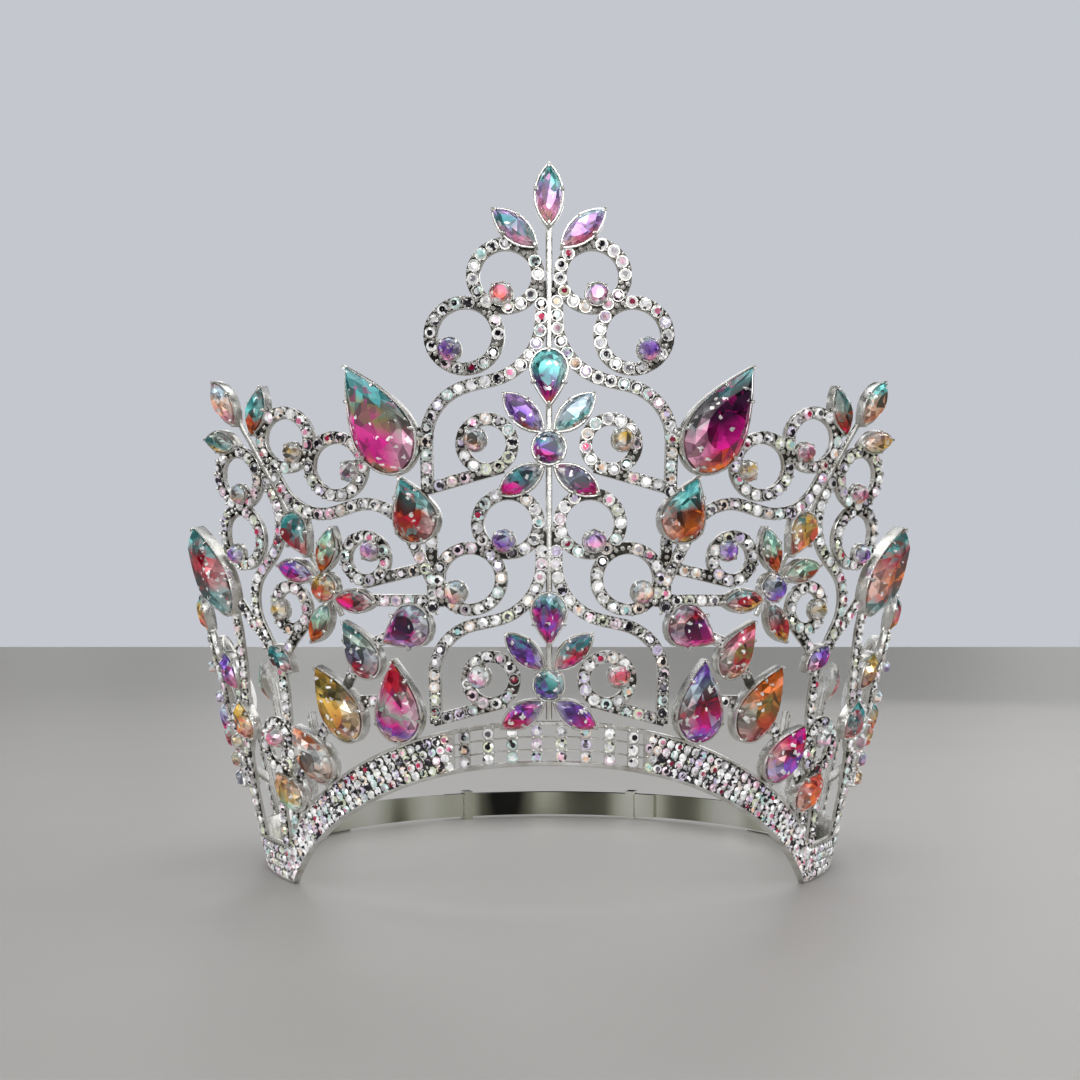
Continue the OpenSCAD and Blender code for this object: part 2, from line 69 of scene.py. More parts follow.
print("nodes in the frame:", len(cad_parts))

# %% [markdown]
# ## The wall that everything stands on
#
# The crown's wall is a ring that leans outwards, more at the sides than at the front. The CAD
# model was made with a few functions that take an azimuth (0 at the front, positive to the
# right) and a height, and give a place in space. The same functions are written here, so that
# what we add lies exactly on the metal. Sizes are in millimetres until a place is made.

# %% The wall
MM = 0.001
RING_RADIUS = 80.0
FRONT_FLARE, SIDE_FLARE = 0.05, 0.21
BAND_HEIGHT = 10.5
ARCH_RISE, ARCH_HALF_ANGLE, ARCH_POWER = 34.0, 54.0, 2.2
BAND_END = 124.0


def sin(degrees):
    return math.sin(math.radians(degrees))


def cos(degrees):
    return math.cos(math.radians(degrees))


def flare(azimuth):
    return FRONT_FLARE + SIDE_FLARE * sin(azimuth) ** 2


def wall_radius(azimuth, height):
    return RING_RADIUS + height * flare(azimuth)


def degrees_per_mm(azimuth, height):
    return math.degrees(1 / wall_radius(azimuth, height))


def on_wall(azimuth, height, out=0.0):
    """A place on the wall, or some millimetres out of it, in metres."""
    r = wall_radius(azimuth, height) + out
    return Vector((r * sin(azimuth), -r * cos(azimuth), height)) * MM


def wall_matrix(azimuth, height, out=0.0, turn=0.0):
    """Stands a flat piece in millimetres on the wall: X along it, Y up it and Z out of it."""
    radius = wall_radius(azimuth, height)
    swing = math.atan(height * SIDE_FLARE * sin(2 * azimuth) / radius)
    lean = math.pi / 2 + math.atan(flare(azimuth))
    return (
        Matrix.Scale(MM, 4)
        @ Matrix.Rotation(math.radians(azimuth), 4, "Z")
        @ Matrix.Translation((0, -radius, height))
        @ Matrix.Rotation(-swing, 4, "Z")
        @ Matrix.Rotation(lean, 4, "X")
        @ Matrix.Rotation(-math.radians(turn), 4, "Z")
        @ Matrix.Translation((0, 0, out))
    )


def arch(azimuth):
    """Height of the band's lower edge."""
    return ARCH_RISE * max(0.0, 1 - (abs(azimuth) / ARCH_HALF_ANGLE) ** ARCH_POWER)


print("the arch is", arch(0), "mm high in the middle and", round(arch(30), 1), "mm at 30 degrees")

# %% [markdown]
# ## The tiers
#
# The openwork repeats one group of scrolls: two tiers in the middle, one column on each side
# and one near each end of the band. A tier has its own flat drawing plane, in millimetres
# around its round stone, and `tier_spot` says where a place of that plane lies on the wall.

# %% The tiers
Tier = namedtuple("Tier", "azimuth height half lean foot")

LOWER_HALF, UPPER_HALF, SIDE_HALF, REAR_HALF = 27.2, 28.6, 25.7, 21.5
LOWER_HEIGHT = ARCH_RISE + BAND_HEIGHT + 0.31 * LOWER_HALF
UPPER_HEIGHT = LOWER_HEIGHT + 1.99 * LOWER_HALF
REAR_HEIGHT = BAND_HEIGHT + 0.9 * REAR_HALF
SIDE_AZIMUTH, SIDE_HEIGHT = 36.0, 76.0
REAR_AZIMUTH = 84.0

UPPER = Tier(0.0, UPPER_HEIGHT, UPPER_HALF, 0.0, 0.0)
LOWER = Tier(0.0, LOWER_HEIGHT, LOWER_HALF, 0.0, 0.0)
SIDE = Tier(SIDE_AZIMUTH, SIDE_HEIGHT, SIDE_HALF, 26.5, 0.12)
REAR = Tier(REAR_AZIMUTH, REAR_HEIGHT, REAR_HALF, 6.0, 0.45)


def tier_spot(tier, x, y):
    """Azimuth and height of a place in a tier's plane."""
    along = x * cos(tier.lean) + y * sin(tier.lean)
    up = y * cos(tier.lean) - x * sin(tier.lean)
    return (
        tier.azimuth + along * degrees_per_mm(tier.azimuth, tier.height),
        tier.height + up,
    )


def plane_at(azimuth, height):
    """A drawing plane for a strand that stands by itself."""
    return Tier(azimuth, height, 1.0, 0.0, 0.0)


print("tiers at heights", [round(t.height, 1) for t in (LOWER, UPPER, SIDE, REAR)])

# %% [markdown]
# ## Making an object from a bmesh
#
# A bmesh is a mesh that Python can edit. The object itself stays at the origin, because its
# place is already in its vertices.

# %% Piece helper
ROOT = "root"
SHARP_ANGLE = 38


def placed(name, data):
    """A new object of the scene, for a mesh, a light or a camera."""
    made = bpy.data.objects.new(name, data)
    bpy.context.scene.collection.objects.link(made)
    return made


def piece(name, shape, finish, replaces=(), smooth=False, second=None):
    mesh = bpy.data.meshes.new(name)
    shape.to_mesh(mesh)
    shape.free()
    made = placed(name, mesh)
    for material in filter(None, (finish, second)):
        mesh.materials.append(material)
    if smooth:
        mesh.shade_smooth()
        mesh.set_sharp_from_angle(angle=math.radians(SHARP_ANGLE))
    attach(made, ROOT)
    if replaces:
        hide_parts(*replaces)
    mesh.calc_loop_triangles()
    print(name, len(mesh.loop_triangles), "triangles")
    return made


def joined(shapes, layers=()):
    """One bmesh out of many. An operator looks through its whole bmesh each time, so a piece
    with hundreds of parts is made much faster if each part is shaped alone and joined last."""
    whole, buffer = bmesh.new(), bpy.data.meshes.new("buffer")
    for layer in layers:
        whole.loops.layers.float_color.new(layer)
    for shape in shapes:
        shape.to_mesh(buffer)
        shape.free()
        whole.from_mesh(buffer)
    bpy.data.meshes.remove(buffer)
    return whole


# %% [markdown]
# ## Colours
#
# A picture gives a colour as three numbers up to 255. Shaders want linear numbers, in which
# twice the number is twice the light, so every colour here goes through `srgb`.

# %% Colours


def srgb(red, green, blue):
    """A colour as a picture gives it, 0 to 255, in the linear numbers that shaders use."""
    def linear(c):
        c /= 255
        return c / 12.92 if c <= 0.04045 else ((c + 0.055) / 1.055) ** 2.4
    return linear(red), linear(green), linear(blue)


def rgba(colour):
    return (*colour, 1.0)


def set_stops(node, stops):
    """Sets the stops of a colour ramp, which starts with two of its own."""
    for i, (spot, colour) in enumerate(stops):
        elements = node.color_ramp.elements
        stop = elements[i] if i < 2 else elements.new(spot)
        stop.position, stop.color = spot, rgba(colour)


print("a middle grey in linear numbers:", round(srgb(128, 128, 128)[0], 3))

# %% [markdown]
# ## Shader maths in Python
#
# A material is a network of nodes. Wiring it by hand takes many lines, so a small class wraps
# one socket and lets Python's own operators add the Math nodes. One more method makes any
# other node: its settings come first, then the values or links of its sockets.

# %% A number in a shader


class Value:
    """One number on its way through a shader."""

    def __init__(self, finish, socket):
        self.finish, self.socket = finish, socket

    def math(self, operation, *others):
        inputs = dict(enumerate((self, *others)))
        return self.finish.node("ShaderNodeMath", {"operation": operation}, inputs)

    def __add__(self, other):
        return self.math("ADD", other)

    def __sub__(self, other):
        return self.math("SUBTRACT", other)

    def __rsub__(self, other):
        return self.finish.node("ShaderNodeMath", {"operation": "SUBTRACT"}, {0: other, 1: self})

    def __mul__(self, other):
        return self.math("MULTIPLY", other)

    def __gt__(self, other):
        return self.math("GREATER_THAN", other)

    __radd__, __rmul__ = __add__, __mul__


# %% [markdown]
# `Finish` is the material itself. It adds nodes, sets or links their sockets, and at the end
# wires what was made to the shader that Blender gives to every new material.

# %% A finish


class Finish:
    """A material that is built up node by node."""

    def __init__(self, name):
        self.material = bpy.data.materials.new(name)
        self.material.use_nodes = True
        self.tree = self.material.node_tree
        self.shader = self.tree.nodes["Principled BSDF"]
        self.place = self.node("ShaderNodeTexCoord", out="Object")

    def node(self, kind, settings=None, inputs=None, stops=None, out=0):
        node = self.tree.nodes.new(kind)
        for key, value in (settings or {}).items():
            setattr(node, key, value)
        set_stops(node, stops or [])
        for key, value in (inputs or {}).items():
            self.wire(node.inputs[key], value)
        return Value(self, node.outputs[out])

    def wire(self, socket, value):
        if isinstance(value, Value):
            self.tree.links.new(value.socket, socket)
        else:
            socket.default_value = value

    def mix(self, share, first, second):
        return self.node("ShaderNodeMix", {"data_type": "RGBA"}, {0: share, 6: first, 7: second},
                         out=2)

    def noise(self, scale, detail):
        return self.node("ShaderNodeTexNoise", None,
                         {"Vector": self.place, "Scale": scale, "Detail": detail})

    def bump(self, height, strength, distance):
        return self.node("ShaderNodeBump", None,
                         {"Strength": strength, "Distance": distance, "Height": height})

    def finished(self, **sockets):
        for key, value in sockets.items():
            self.wire(self.shader.inputs[key.replace("_", " ")], value)
        return self.material


# %% [markdown]
# ## The metal's finishes
#
# The cast metal is bright plated silver with a slightly warm grey in its hollows, so noise
# moves its colour and roughness a little, and a fine bump breaks its reflections. Between the
# small stones a darker copy of the same metal is painted on: that is painted shade, where the
# stones and their claws shade the plate. The strap is polished sheet: much smoother, and upright
# dark and bright patches are painted into its colour, a painted reflection of a room.

# %% Metal finishes


def cast_silver(name, hollow, middle, bright):
    f = Finish(name)
    patches = f.noise(260.0, 3.0)
    grain = f.noise(2600.0, 2.0)
    colour = f.node("ShaderNodeValToRGB", None, {0: patches}, stops=[
        (0.30, hollow), (0.55, middle), (0.75, bright)])
    return f.finished(
        Base_Color=colour,
        Metallic=1.0,
        Roughness=0.16 + patches * 0.16,
        Normal=f.bump(grain, 0.25, 0.0002),
    )


def polished_sheet():
    f = Finish("polished_sheet")
    waves = f.noise(38.0, 1.0)
    scratches = f.noise(900.0, 3.0)
    upright = f.node("ShaderNodeVectorMath", {"operation": "MULTIPLY"},
                     {0: f.place, 1: (1.0, 1.0, 0.2)})
    # Painted reflection: upright dark and bright patches in the colour stand for a mirrored room.
    room = f.node("ShaderNodeTexNoise", None, {"Vector": upright, "Scale": 30.0, "Detail": 1.0})
    colour = f.node("ShaderNodeValToRGB", None, {0: room}, stops=[
        (0.37, srgb(44, 44, 42)), (0.44, srgb(126, 126, 112)), (0.49, srgb(200, 202, 184)),
        (0.58, srgb(240, 241, 234))])
    return f.finished(
        Base_Color=colour,
        Metallic=1.0,
        Roughness=0.05 + scratches * 0.07,
        Normal=f.bump(waves, 0.5, 0.002),
    )


CAST_SILVER = cast_silver("cast_silver", srgb(196, 193, 184), srgb(228, 227, 223),
                          srgb(242, 243, 244))
# A darker copy of the cast silver: painted shade on the strands' plates under the stones and in the
# band's hollow.
PAINTED_SHADE_SILVER = cast_silver("painted_shade_silver", srgb(48, 46, 44), srgb(82, 80, 76), srgb(132, 130, 124))
POLISHED_SHEET = polished_sheet()
print("metal finishes:", [m.name for m in (CAST_SILVER, PAINTED_SHADE_SILVER, POLISHED_SHEET)])

# %% [markdown]
# ## The stones' finishes
#
# The stones are cut glass with a thin rainbow coating. One facet flashes teal, its neighbour
# magenta or orange. Real dispersion is slow to render and noisy, so each facet keeps its own
# colour in an attribute called `tint`, and the shader paints in what lies behind it: small cells of
# a second colour, `under`, as the facets on the stone's back would show. It also paints small
# white glints and makes some cells brighter than others, as painted highlights. A clear coat on
# top gives the sharp gloss, and a little emission is a painted glow that stands for the light that
# the foil sends back.

# %% Stone finishes


def cut_glass(name, cell_size, metallic, glow):
    f = Finish(name)
    tint = f.node("ShaderNodeAttribute", {"attribute_name": "tint"})
    under = f.node("ShaderNodeAttribute", {"attribute_name": "under"})
    cells = f.node("ShaderNodeTexVoronoi", {"feature": "F1", "distance": "MANHATTAN"},
                   {"Vector": f.place, "Scale": 1 / cell_size}, out="Color")
    parts = f.node("ShaderNodeSeparateColor", None, {0: cells}, out="Red")
    other = Value(f, parts.socket.node.outputs["Green"])
    behind = f.mix((parts > 0.85) * 0.45, tint, under)
    # Painted highlights: a few small cells are painted nearly white, as glints.
    grains = f.node("ShaderNodeTexVoronoi", {"feature": "F1", "distance": "MANHATTAN"},
                    {"Vector": f.place, "Scale": 2.6 / cell_size}, out="Color")
    glint = f.node("ShaderNodeSeparateColor", None, {0: grains}, out="Red") > 0.962
    behind = f.mix(glint * 0.85, behind, rgba(srgb(250, 248, 246)))
    # Painted highlight and shade: each cell is made a little brighter or darker.
    shine = 0.55 + other * 0.6
    lit = f.node("ShaderNodeVectorMath", {"operation": "SCALE"}, {0: behind, "Scale": shine})
    return f.finished(
        Base_Color=lit,
        Metallic=metallic,
        Roughness=0.07 + other * 0.08,
        IOR=1.5,
        Coat_Weight=0.4,
        Coat_Roughness=0.02,
        # A painted glow: the emission stands for light that the foil sends back; there is no lamp
        # in the stone.
        Emission_Color=lit,
        Emission_Strength=glow,
    )


LARGE_GLASS = cut_glass("rainbow_glass", 0.0022, 0.45, 0.3)
SMALL_GLASS = cut_glass("clear_rainbow_glass", 0.0009, 0.5, 0.38)
print("stone finishes:", LARGE_GLASS.name, SMALL_GLASS.name)

# %% [markdown]
# ## Drawing a strand
#
# A strand is a flat metal plate, and the small stones stand on it in little cups. Its
# cross-section is a ring of edges. `extrude_edge_only` draws that ring straight ahead and
# `spin` takes it round a bend, all in the tier's flat plane. Only then are the vertices
# carried onto the wall, so the bends stay true circles on the drawing.

# %% Cross-sections
STRAND_WIDTH, STRAND_DEPTH = 2.9, 1.8

# Half of the plate's cross-section: share of half the width, share of the thickness
STRIP_HALF = [(0.0, 0.0), (0.86, 0.0), (1.0, 0.16), (1.0, 0.86), (0.9, 1.0), (0.0, 1.0)]
# The same for a plain wire
WIRE_HALF = [(0.0, 0.0), (0.7, 0.08), (1.0, 0.35), (1.0, 0.65), (0.7, 0.92), (0.0, 1.0)]


def full_profile(half, width, low, high):
    right = [(x * width / 2, low + z * (high - low)) for x, z in half]
    left = [(-x, z) for x, z in reversed(right) if x > 0]
    return right + left


def ring_of_edges(shape, points):
    corners = [shape.verts.new(point) for point in points]
    return [shape.edges.new((corners[i - 1], corners[i])) for i in range(len(corners))]


def profile_ring(shape, place, profile):
    """The edges of a cross-section that stands across the path."""
    x, y, heading = place
    return ring_of_edges(shape, [(x - u * sin(heading), y + u * cos(heading), n)
                                 for u, n in profile])


print("corners of a plate's cross-section:", len(full_profile(STRIP_HALF, STRAND_WIDTH, 0, 1)))

# %% [markdown]
# A straight part is extruded in steps of at most 4 mm, because it has to follow the wall's
# bend afterwards. A bend is spun round its centre, which lies beside the path.

# %% Ahead and round a bend
STRAIGHT_STEP, BEND_STEP = 4.0, 11.0


def corners_of(edges):
    """The vertices of some edges, each once and always in the same order."""
    return list(dict.fromkeys(corner for edge in edges for corner in edge.verts))


def extruded(shape, edges):
    """Extrudes a ring of edges and gives back the new ring."""
    made = bmesh.ops.extrude_edge_only(shape, edges=edges)["geom"]
    return [g for g in made if isinstance(g, bmesh.types.BMEdge) and len(g.link_faces) == 1]


def drawn_ahead(shape, edges, heading, length):
    steps = max(1, math.ceil(length / STRAIGHT_STEP))
    ahead = Vector((cos(heading), sin(heading), 0)) * length / steps
    for _ in range(steps):
        edges = extruded(shape, edges)
        bmesh.ops.translate(shape, vec=ahead, verts=corners_of(edges))
    return edges


def drawn_round(shape, edges, place, radius, turn):
    side = math.copysign(1, turn)
    centre = (place[0] - side * radius * sin(place[2]), place[1] + side * radius * cos(place[2]), 0)
    made = bmesh.ops.spin(
        shape, geom=corners_of(edges) + edges, cent=centre, axis=(0, 0, 1),
        angle=math.radians(turn), steps=max(1, math.ceil(abs(turn) / BEND_STEP)),
        use_merge=False, use_duplicate=False)["geom_last"]
    return [g for g in made if isinstance(g, bmesh.types.BMEdge)]


# %% [markdown]
# The same moves also tell where a strand is after each of them, which is needed to start the
# next move and to place the small stones.

# %% Moves


def advanced(place, move, share=1.0):
    """The place after a share of a move, which is (length, 0) or (radius, turn)."""
    x, y, heading = place
    size, turn = move
    if turn == 0:
        return x + size * share * cos(heading), y + size * share * sin(heading), heading
    side, to = math.copysign(1, turn), heading + turn * share
    return (x + side * size * (sin(to) - sin(heading)),
            y - side * size * (cos(to) - cos(heading)), to)


def length_of(move):
    return move[0] if move[1] == 0 else move[0] * math.radians(abs(move[1]))


print("a quarter turn at 10 mm is", round(length_of((10, 90)), 1), "mm long")

# %% [markdown]
# ## Seats for the small stones
#
# While the strands are drawn, the script notes where a small stone could sit, every half
# millimetre. Strands cross in many places. So when the stones are set, each seat is taken only
# if it is nearly a pitch away from all the stones before it and not under a large stone.

# %% Seats
Seat = namedtuple("Seat", "azimuth height out heading")

ROW_PITCH, SEAT_STEP = 3.0, 0.5


def row_of_seats(tier, place, moves, out):
    total = sum(length_of(m) for m in moves)
    count = max(1, round(total / SEAT_STEP))
    seats = []
    for i in range(count):
        left, here = (i + 0.5) * total / count, place
        for move in moves:
            if left <= length_of(move):
                here = advanced(here, move, left / length_of(move))
                break
            left -= length_of(move)
            here = advanced(here, move)
        azimuth, height = tier_spot(tier, here[0], here[1])
        seats.append(Seat(azimuth, height, out, here[2] - tier.lean))
    return seats


print("seats on a 30 mm strand:", len(row_of_seats(UPPER, (0, 0, 0), [(30, 0)], 1.8)))

# %% [markdown]
# A strand is drawn flat, closed at its ends and then carried onto the wall. Its upper face gets
# the second material, the metal painted dark as painted shade, because the stones stand there and
# shade it. A loop is a full spin.

# %% Strands
# How far a plate lies below the stones' seats, and how much deeper each lower layer lies
PLATE_DROP, LAYER_STEP = 0.55, 0.22
LOOP_STEPS = 32
# A face whose normal points up at least this much is a plate's upper face
FLAT_ENOUGH = 0.95


def layer_range(layer):
    """From where to where a layer reaches, so that crossing strands never share a face."""
    return layer * LAYER_STEP, STRAND_DEPTH - layer * LAYER_STEP


def closed_and_carried(shape, tier, plain=False):
    """Closes the open ends, turns the faces outwards and carries the strand onto the wall."""
    open_edges = [e for e in shape.edges if e.is_boundary]
    if open_edges:
        bmesh.ops.holes_fill(shape, edges=open_edges)
    bmesh.ops.recalc_face_normals(shape, faces=shape.faces)
    # The plate's upper faces get the painted shade metal.
    for face in shape.faces:
        face.material_index = int(face.normal.z > FLAT_ENOUGH and not plain)
    for corner in shape.verts:
        azimuth, height = tier_spot(tier, corner.co.x, corner.co.y)
        corner.co = on_wall(azimuth, height, corner.co.z)
    return shape


def strand(tier, place, moves, layer=1, plain=False, width=STRAND_WIDTH):
    """Draws one strand, and gives it back with the seats of its small stones."""
    low, high = layer_range(layer)
    shape = bmesh.new()
    half = WIRE_HALF if plain else STRIP_HALF
    top = high if plain else high - PLATE_DROP
    edges = profile_ring(shape, place, full_profile(half, width, low, top))
    here = place
    for move in moves:
        if move[1] == 0:
            edges = drawn_ahead(shape, edges, here[2], move[0])
        else:
            edges = drawn_round(shape, edges, here, *move)
        here = advanced(here, move)
    seats = [] if plain else row_of_seats(tier, place, moves, high)
    return closed_and_carried(shape, tier, plain), seats


def loop(tier, x, y, radius):
    """Draws one round loop, which is a full spin."""
    low, high = layer_range(0)
    shape = bmesh.new()
    start = (x + radius, y, 90.0)
    edges = profile_ring(shape, start,
                         full_profile(STRIP_HALF, STRAND_WIDTH, low, high - PLATE_DROP))
    bmesh.ops.spin(shape, geom=corners_of(edges) + edges, cent=(x, y, 0), axis=(0, 0, 1),
                   angle=2 * math.pi, steps=LOOP_STEPS, use_merge=True, use_duplicate=False)
    return closed_and_carried(shape, tier), row_of_seats(tier, start, [(radius, 360.0)], high)


# %% [markdown]
# ## One tier of scrolls
#
# A tier has three pairs of loops, two long legs that swing out from the knot into a frame,
# two bottom rails and a stem. The shares are the same as in the CAD model: a share is
# multiplied by half the tier's width. Loops come first, because they lie on top and keep
# their full row of stones where strands cross.

# %% Tiers and links
# x, y and radius of the top loop, the second loop and the inner loop
LOOPS = ((0.335, 1.36, 0.25), (0.655, 0.895, 0.262), (0.49, 0.035, 0.2))
KNOT = 1.32
STEM_TOP, LOWER_STEM_TOP = 1.95, 1.8
STEM_FOOT = -0.3
# A leg's parts on the right side: length or radius as a share, and turn in degrees
LEG = [(0.3, 0), (0.49, 78), (0.18, 0), (0.44, -78), (0.42, 0)]
RAIL_END, RAIL_LENGTH, RAIL_HEADING = (1.0, -0.32), 0.66, 165.0


def tier_of_scrolls(tier, loops, stem_top):
    h = tier.half
    made = [loop(tier, side * x * h, y * h, radius * h)
            for side in (1, -1) for x, y, radius in loops]
    for side in (1, -1):
        leg = [(share * h, turn * side) for share, turn in LEG]
        leg[-1] = ((LEG[-1][0] + tier.foot) * h, 0)
        made.append(strand(tier, (0.06 * side * h, KNOT * h, -90.0), leg))
    for side, heading in ((1, RAIL_HEADING), (-1, 180 - RAIL_HEADING)):
        x, y = RAIL_END
        made.append(strand(tier, (side * x * h, y * h, heading), [(RAIL_LENGTH * h, 0)], 2))
    made.append(strand(tier, (0.0, STEM_FOOT * h, 90.0), [((stem_top - STEM_FOOT) * h, 0)], 2,
                       plain=True, width=STRAND_WIDTH / 2))
    return made


def link(start, end, bow=0.0, layer=2):
    """A strand from one place on the wall to another, straight or in the form of an S."""
    along = (end[0] - start[0]) / degrees_per_mm(start[0], start[1])
    up = end[1] - start[1]
    length, heading = math.hypot(along, up), math.degrees(math.atan2(up, along))
    moves = [(length, 0)]
    if bow:
        radius = length / 4 / sin(abs(bow) / 2)
        moves = [(radius, bow), (radius, -bow)]
    return strand(plane_at(*start[:2]), (0.0, 0.0, heading - bow / 2), moves, layer)


def moved(place, along, up):
    return place[0] + along * degrees_per_mm(place[0], place[1]), place[1] + up


def on_band(azimuth):
    return azimuth, arch(azimuth) + BAND_HEIGHT / 2


print("a tier has", 2 * len(LOOPS), "loops, and its knot is", KNOT, "half widths up")

# %% [markdown]
# ## The places of the large stones
#
# The large stones' places are the same as in the CAD model. A tier's flower is a pear, a
# round stone, two leaves and two feet, and its places are counted in lengths of a leaf, so
# that one flower does for all the tiers.

# %% Flowers
Stone = namedtuple("Stone", "azimuth height turn shape length width")

LEAF_LENGTH, LEAF_WIDTH = 12.0, 5.0
TRIO_FOOT = 1.6

# x and y in leaf lengths, turn, shape, length and width as shares of a leaf's
PEAR_ROW = (0, 1.32, 180, "pear", 1.02, 1.6)
ROUND_ROW = (0, 0, 0, "round", 0.58, 1.4)
LEAF_ROW = (0.477, 0.667, 47, "leaf", 1, 1.04)
FOOT_ROW = (0.524, -0.608, 122, "leaf", 0.96, 1.04)
TRIO_MIDDLE = (0, 0.894, 0, "leaf", 1.1, 1.14)
TRIO_SIDE = (0.624, 0.286, 50, "leaf", 1.04, 1.02)


def tier_stone(tier, row, side=1, foot=0.0):
    x, y, turn, shape, length, width = row
    scale = tier.half / UPPER_HALF
    leaf = LEAF_LENGTH * scale
    azimuth, height = tier_spot(tier, side * x * leaf, foot * tier.half + y * leaf)
    return Stone(azimuth, height, tier.lean + side * turn, shape,
                 leaf * length, LEAF_WIDTH * scale * width)


def flower(tier):
    return {
        "pear": tier_stone(tier, PEAR_ROW),
        "round": tier_stone(tier, ROUND_ROW),
        "leaf_left": tier_stone(tier, LEAF_ROW, -1),
        "leaf_right": tier_stone(tier, LEAF_ROW, 1),
        "foot_left": tier_stone(tier, FOOT_ROW, -1),
        "foot_right": tier_stone(tier, FOOT_ROW, 1),
    }


def trio(tier, left, right):
    """The three leaves on top of a tier, with the names of the outer two."""
    return {
        "middle": tier_stone(tier, TRIO_MIDDLE, 1, TRIO_FOOT),
        left: tier_stone(tier, TRIO_SIDE, -1, TRIO_FOOT),
        right: tier_stone(tier, TRIO_SIDE, 1, TRIO_FOOT),
    }


print("stones of the upper flower:", ", ".join(flower(UPPER)))

# %% [markdown]
# The other stones stand by themselves on the wall, with an azimuth and a height. Only the
# right side is written down. The left side is its mirror image.

# %% Stones on the wall
LARGE_LENGTH, LARGE_WIDTH = 27.0, 14.0


def wall_stone(azimuth, height, turn, shape, length, width):
    return Stone(azimuth, height, turn, shape, LARGE_LENGTH * length, LARGE_WIDTH * width)


# Stones of one side that have their own node
WALL_STONES = {
    "post_large_pear": wall_stone(26, 1.069 * UPPER_HEIGHT, 29, "pear", 1, 1),
    "post_upper_pear": wall_stone(20.9, 0.873 * UPPER_HEIGHT, 20, "pear", 0.56, 0.73),
    "post_middle_pear": wall_stone(22.6, 0.615 * UPPER_HEIGHT, 118, "pear", 0.46, 0.69),
    "post_lower_pear": wall_stone(24.4, 0.457 * UPPER_HEIGHT, 4, "pear", 0.7, 0.8),
    "low_pear_1": wall_stone(SIDE_AZIMUTH - 5.4, 0.806 * SIDE_HEIGHT, 30, "pear", 0.54, 0.56),
    "low_pear_2": wall_stone(SIDE_AZIMUTH - 0.6, 0.636 * SIDE_HEIGHT, 31, "pear", 0.73, 0.75),
    "low_pear_3": wall_stone(SIDE_AZIMUTH + 5.6, 0.472 * SIDE_HEIGHT, 40, "pear", 0.6, 0.64),
    "low_pear_4": wall_stone(SIDE_AZIMUTH + 12.8, 0.338 * SIDE_HEIGHT, 44, "pear", 0.42, 0.48),
    "side_large_pear": wall_stone(SIDE_AZIMUTH + 24.5, 1.078 * SIDE_HEIGHT, 29, "pear",
                                  0.94, 0.88),
}
END_LEAF = wall_stone(REAR_AZIMUTH + 23.5, 1.68 * REAR_HEIGHT, -14, "leaf", 0.46, 0.4)
END_PEAR = wall_stone(REAR_AZIMUTH + 34, 1.04 * REAR_HEIGHT, 10, "pear", 0.41, 0.48)

# The smaller stones of one side, which share a node
SMALL_SIDE_STONES = [
    *flower(SIDE).values(),
    *flower(REAR).values(),
    tier_stone(REAR, TRIO_MIDDLE, 1, TRIO_FOOT),
    wall_stone(SIDE_AZIMUTH + 10.4, 0.775 * SIDE_HEIGHT, 48, "leaf", 0.33, 0.31),
    wall_stone(SIDE_AZIMUTH + 24.2, 0.564 * SIDE_HEIGHT, 20, "pear", 0.37, 0.46),
    wall_stone(SIDE_AZIMUTH + 26.6, 0.733 * SIDE_HEIGHT, 24, "leaf", 0.37, 0.34),
    END_LEAF,
    END_PEAR,
]
SIDE_TRIO = trio(SIDE, "front", "back")
print("on each side:", len(WALL_STONES) + len(SIDE_TRIO), "main stones and",
      len(SMALL_SIDE_STONES), "small ones")

# %% [markdown]
# Each loop holds one small round stone, a little off its centre, as a maker sets it where the
# strand gives it a hold.

# %% Loop stones
LOOP_STONE = 4.9

# azimuth, height, radius, and where the small round stone lies from the loop's centre
WALL_LOOPS = [
    (SIDE_AZIMUTH + 15.6, 0.48 * SIDE_HEIGHT, 6.0, -1.5, 2.7),
    (SIDE_AZIMUTH + 30.4, 0.521 * SIDE_HEIGHT, 5.6, 0.0, -2.7),
    (REAR_AZIMUTH + 26, BAND_HEIGHT + 5.8, 6.4, 0.0, 3.2),
]
LOOP_STONE_SPOTS = [(0.369, 1.21), (0.771, 0.785), (0.583, 0.071)]


def loop_stones_of(tier, count):
    scale = tier.half / UPPER_HALF if tier in (SIDE, REAR) else 1.0
    made = []
    for x, y in LOOP_STONE_SPOTS[:count]:
        for side in (1, -1):
            azimuth, height = tier_spot(tier, side * x * tier.half, y * tier.half)
            made.append(Stone(azimuth, height, 0, "round", LOOP_STONE * scale, LOOP_STONE * scale))
    return made


CENTRE_LOOP_STONES = loop_stones_of(UPPER, 3) + loop_stones_of(LOWER, 3)
SIDE_LOOP_STONES = loop_stones_of(SIDE, 3) + loop_stones_of(REAR, 2) + [
    Stone(*moved(row, row[3], row[4]), 0, "round", LOOP_STONE, LOOP_STONE) for row in WALL_LOOPS]
print("round loop stones:", len(CENTRE_LOOP_STONES) + 2 * len(SIDE_LOOP_STONES))

# %% [markdown]
# ## The openwork
#
# The centre is drawn once. The right side is drawn once too, and the left side is its mirror
# image: a bmesh scaled by -1 is inside out, so its faces are turned back afterwards.

# %% Openwork
# Azimuth of the straight post that joins the two tiers at the side
POST = 18.3


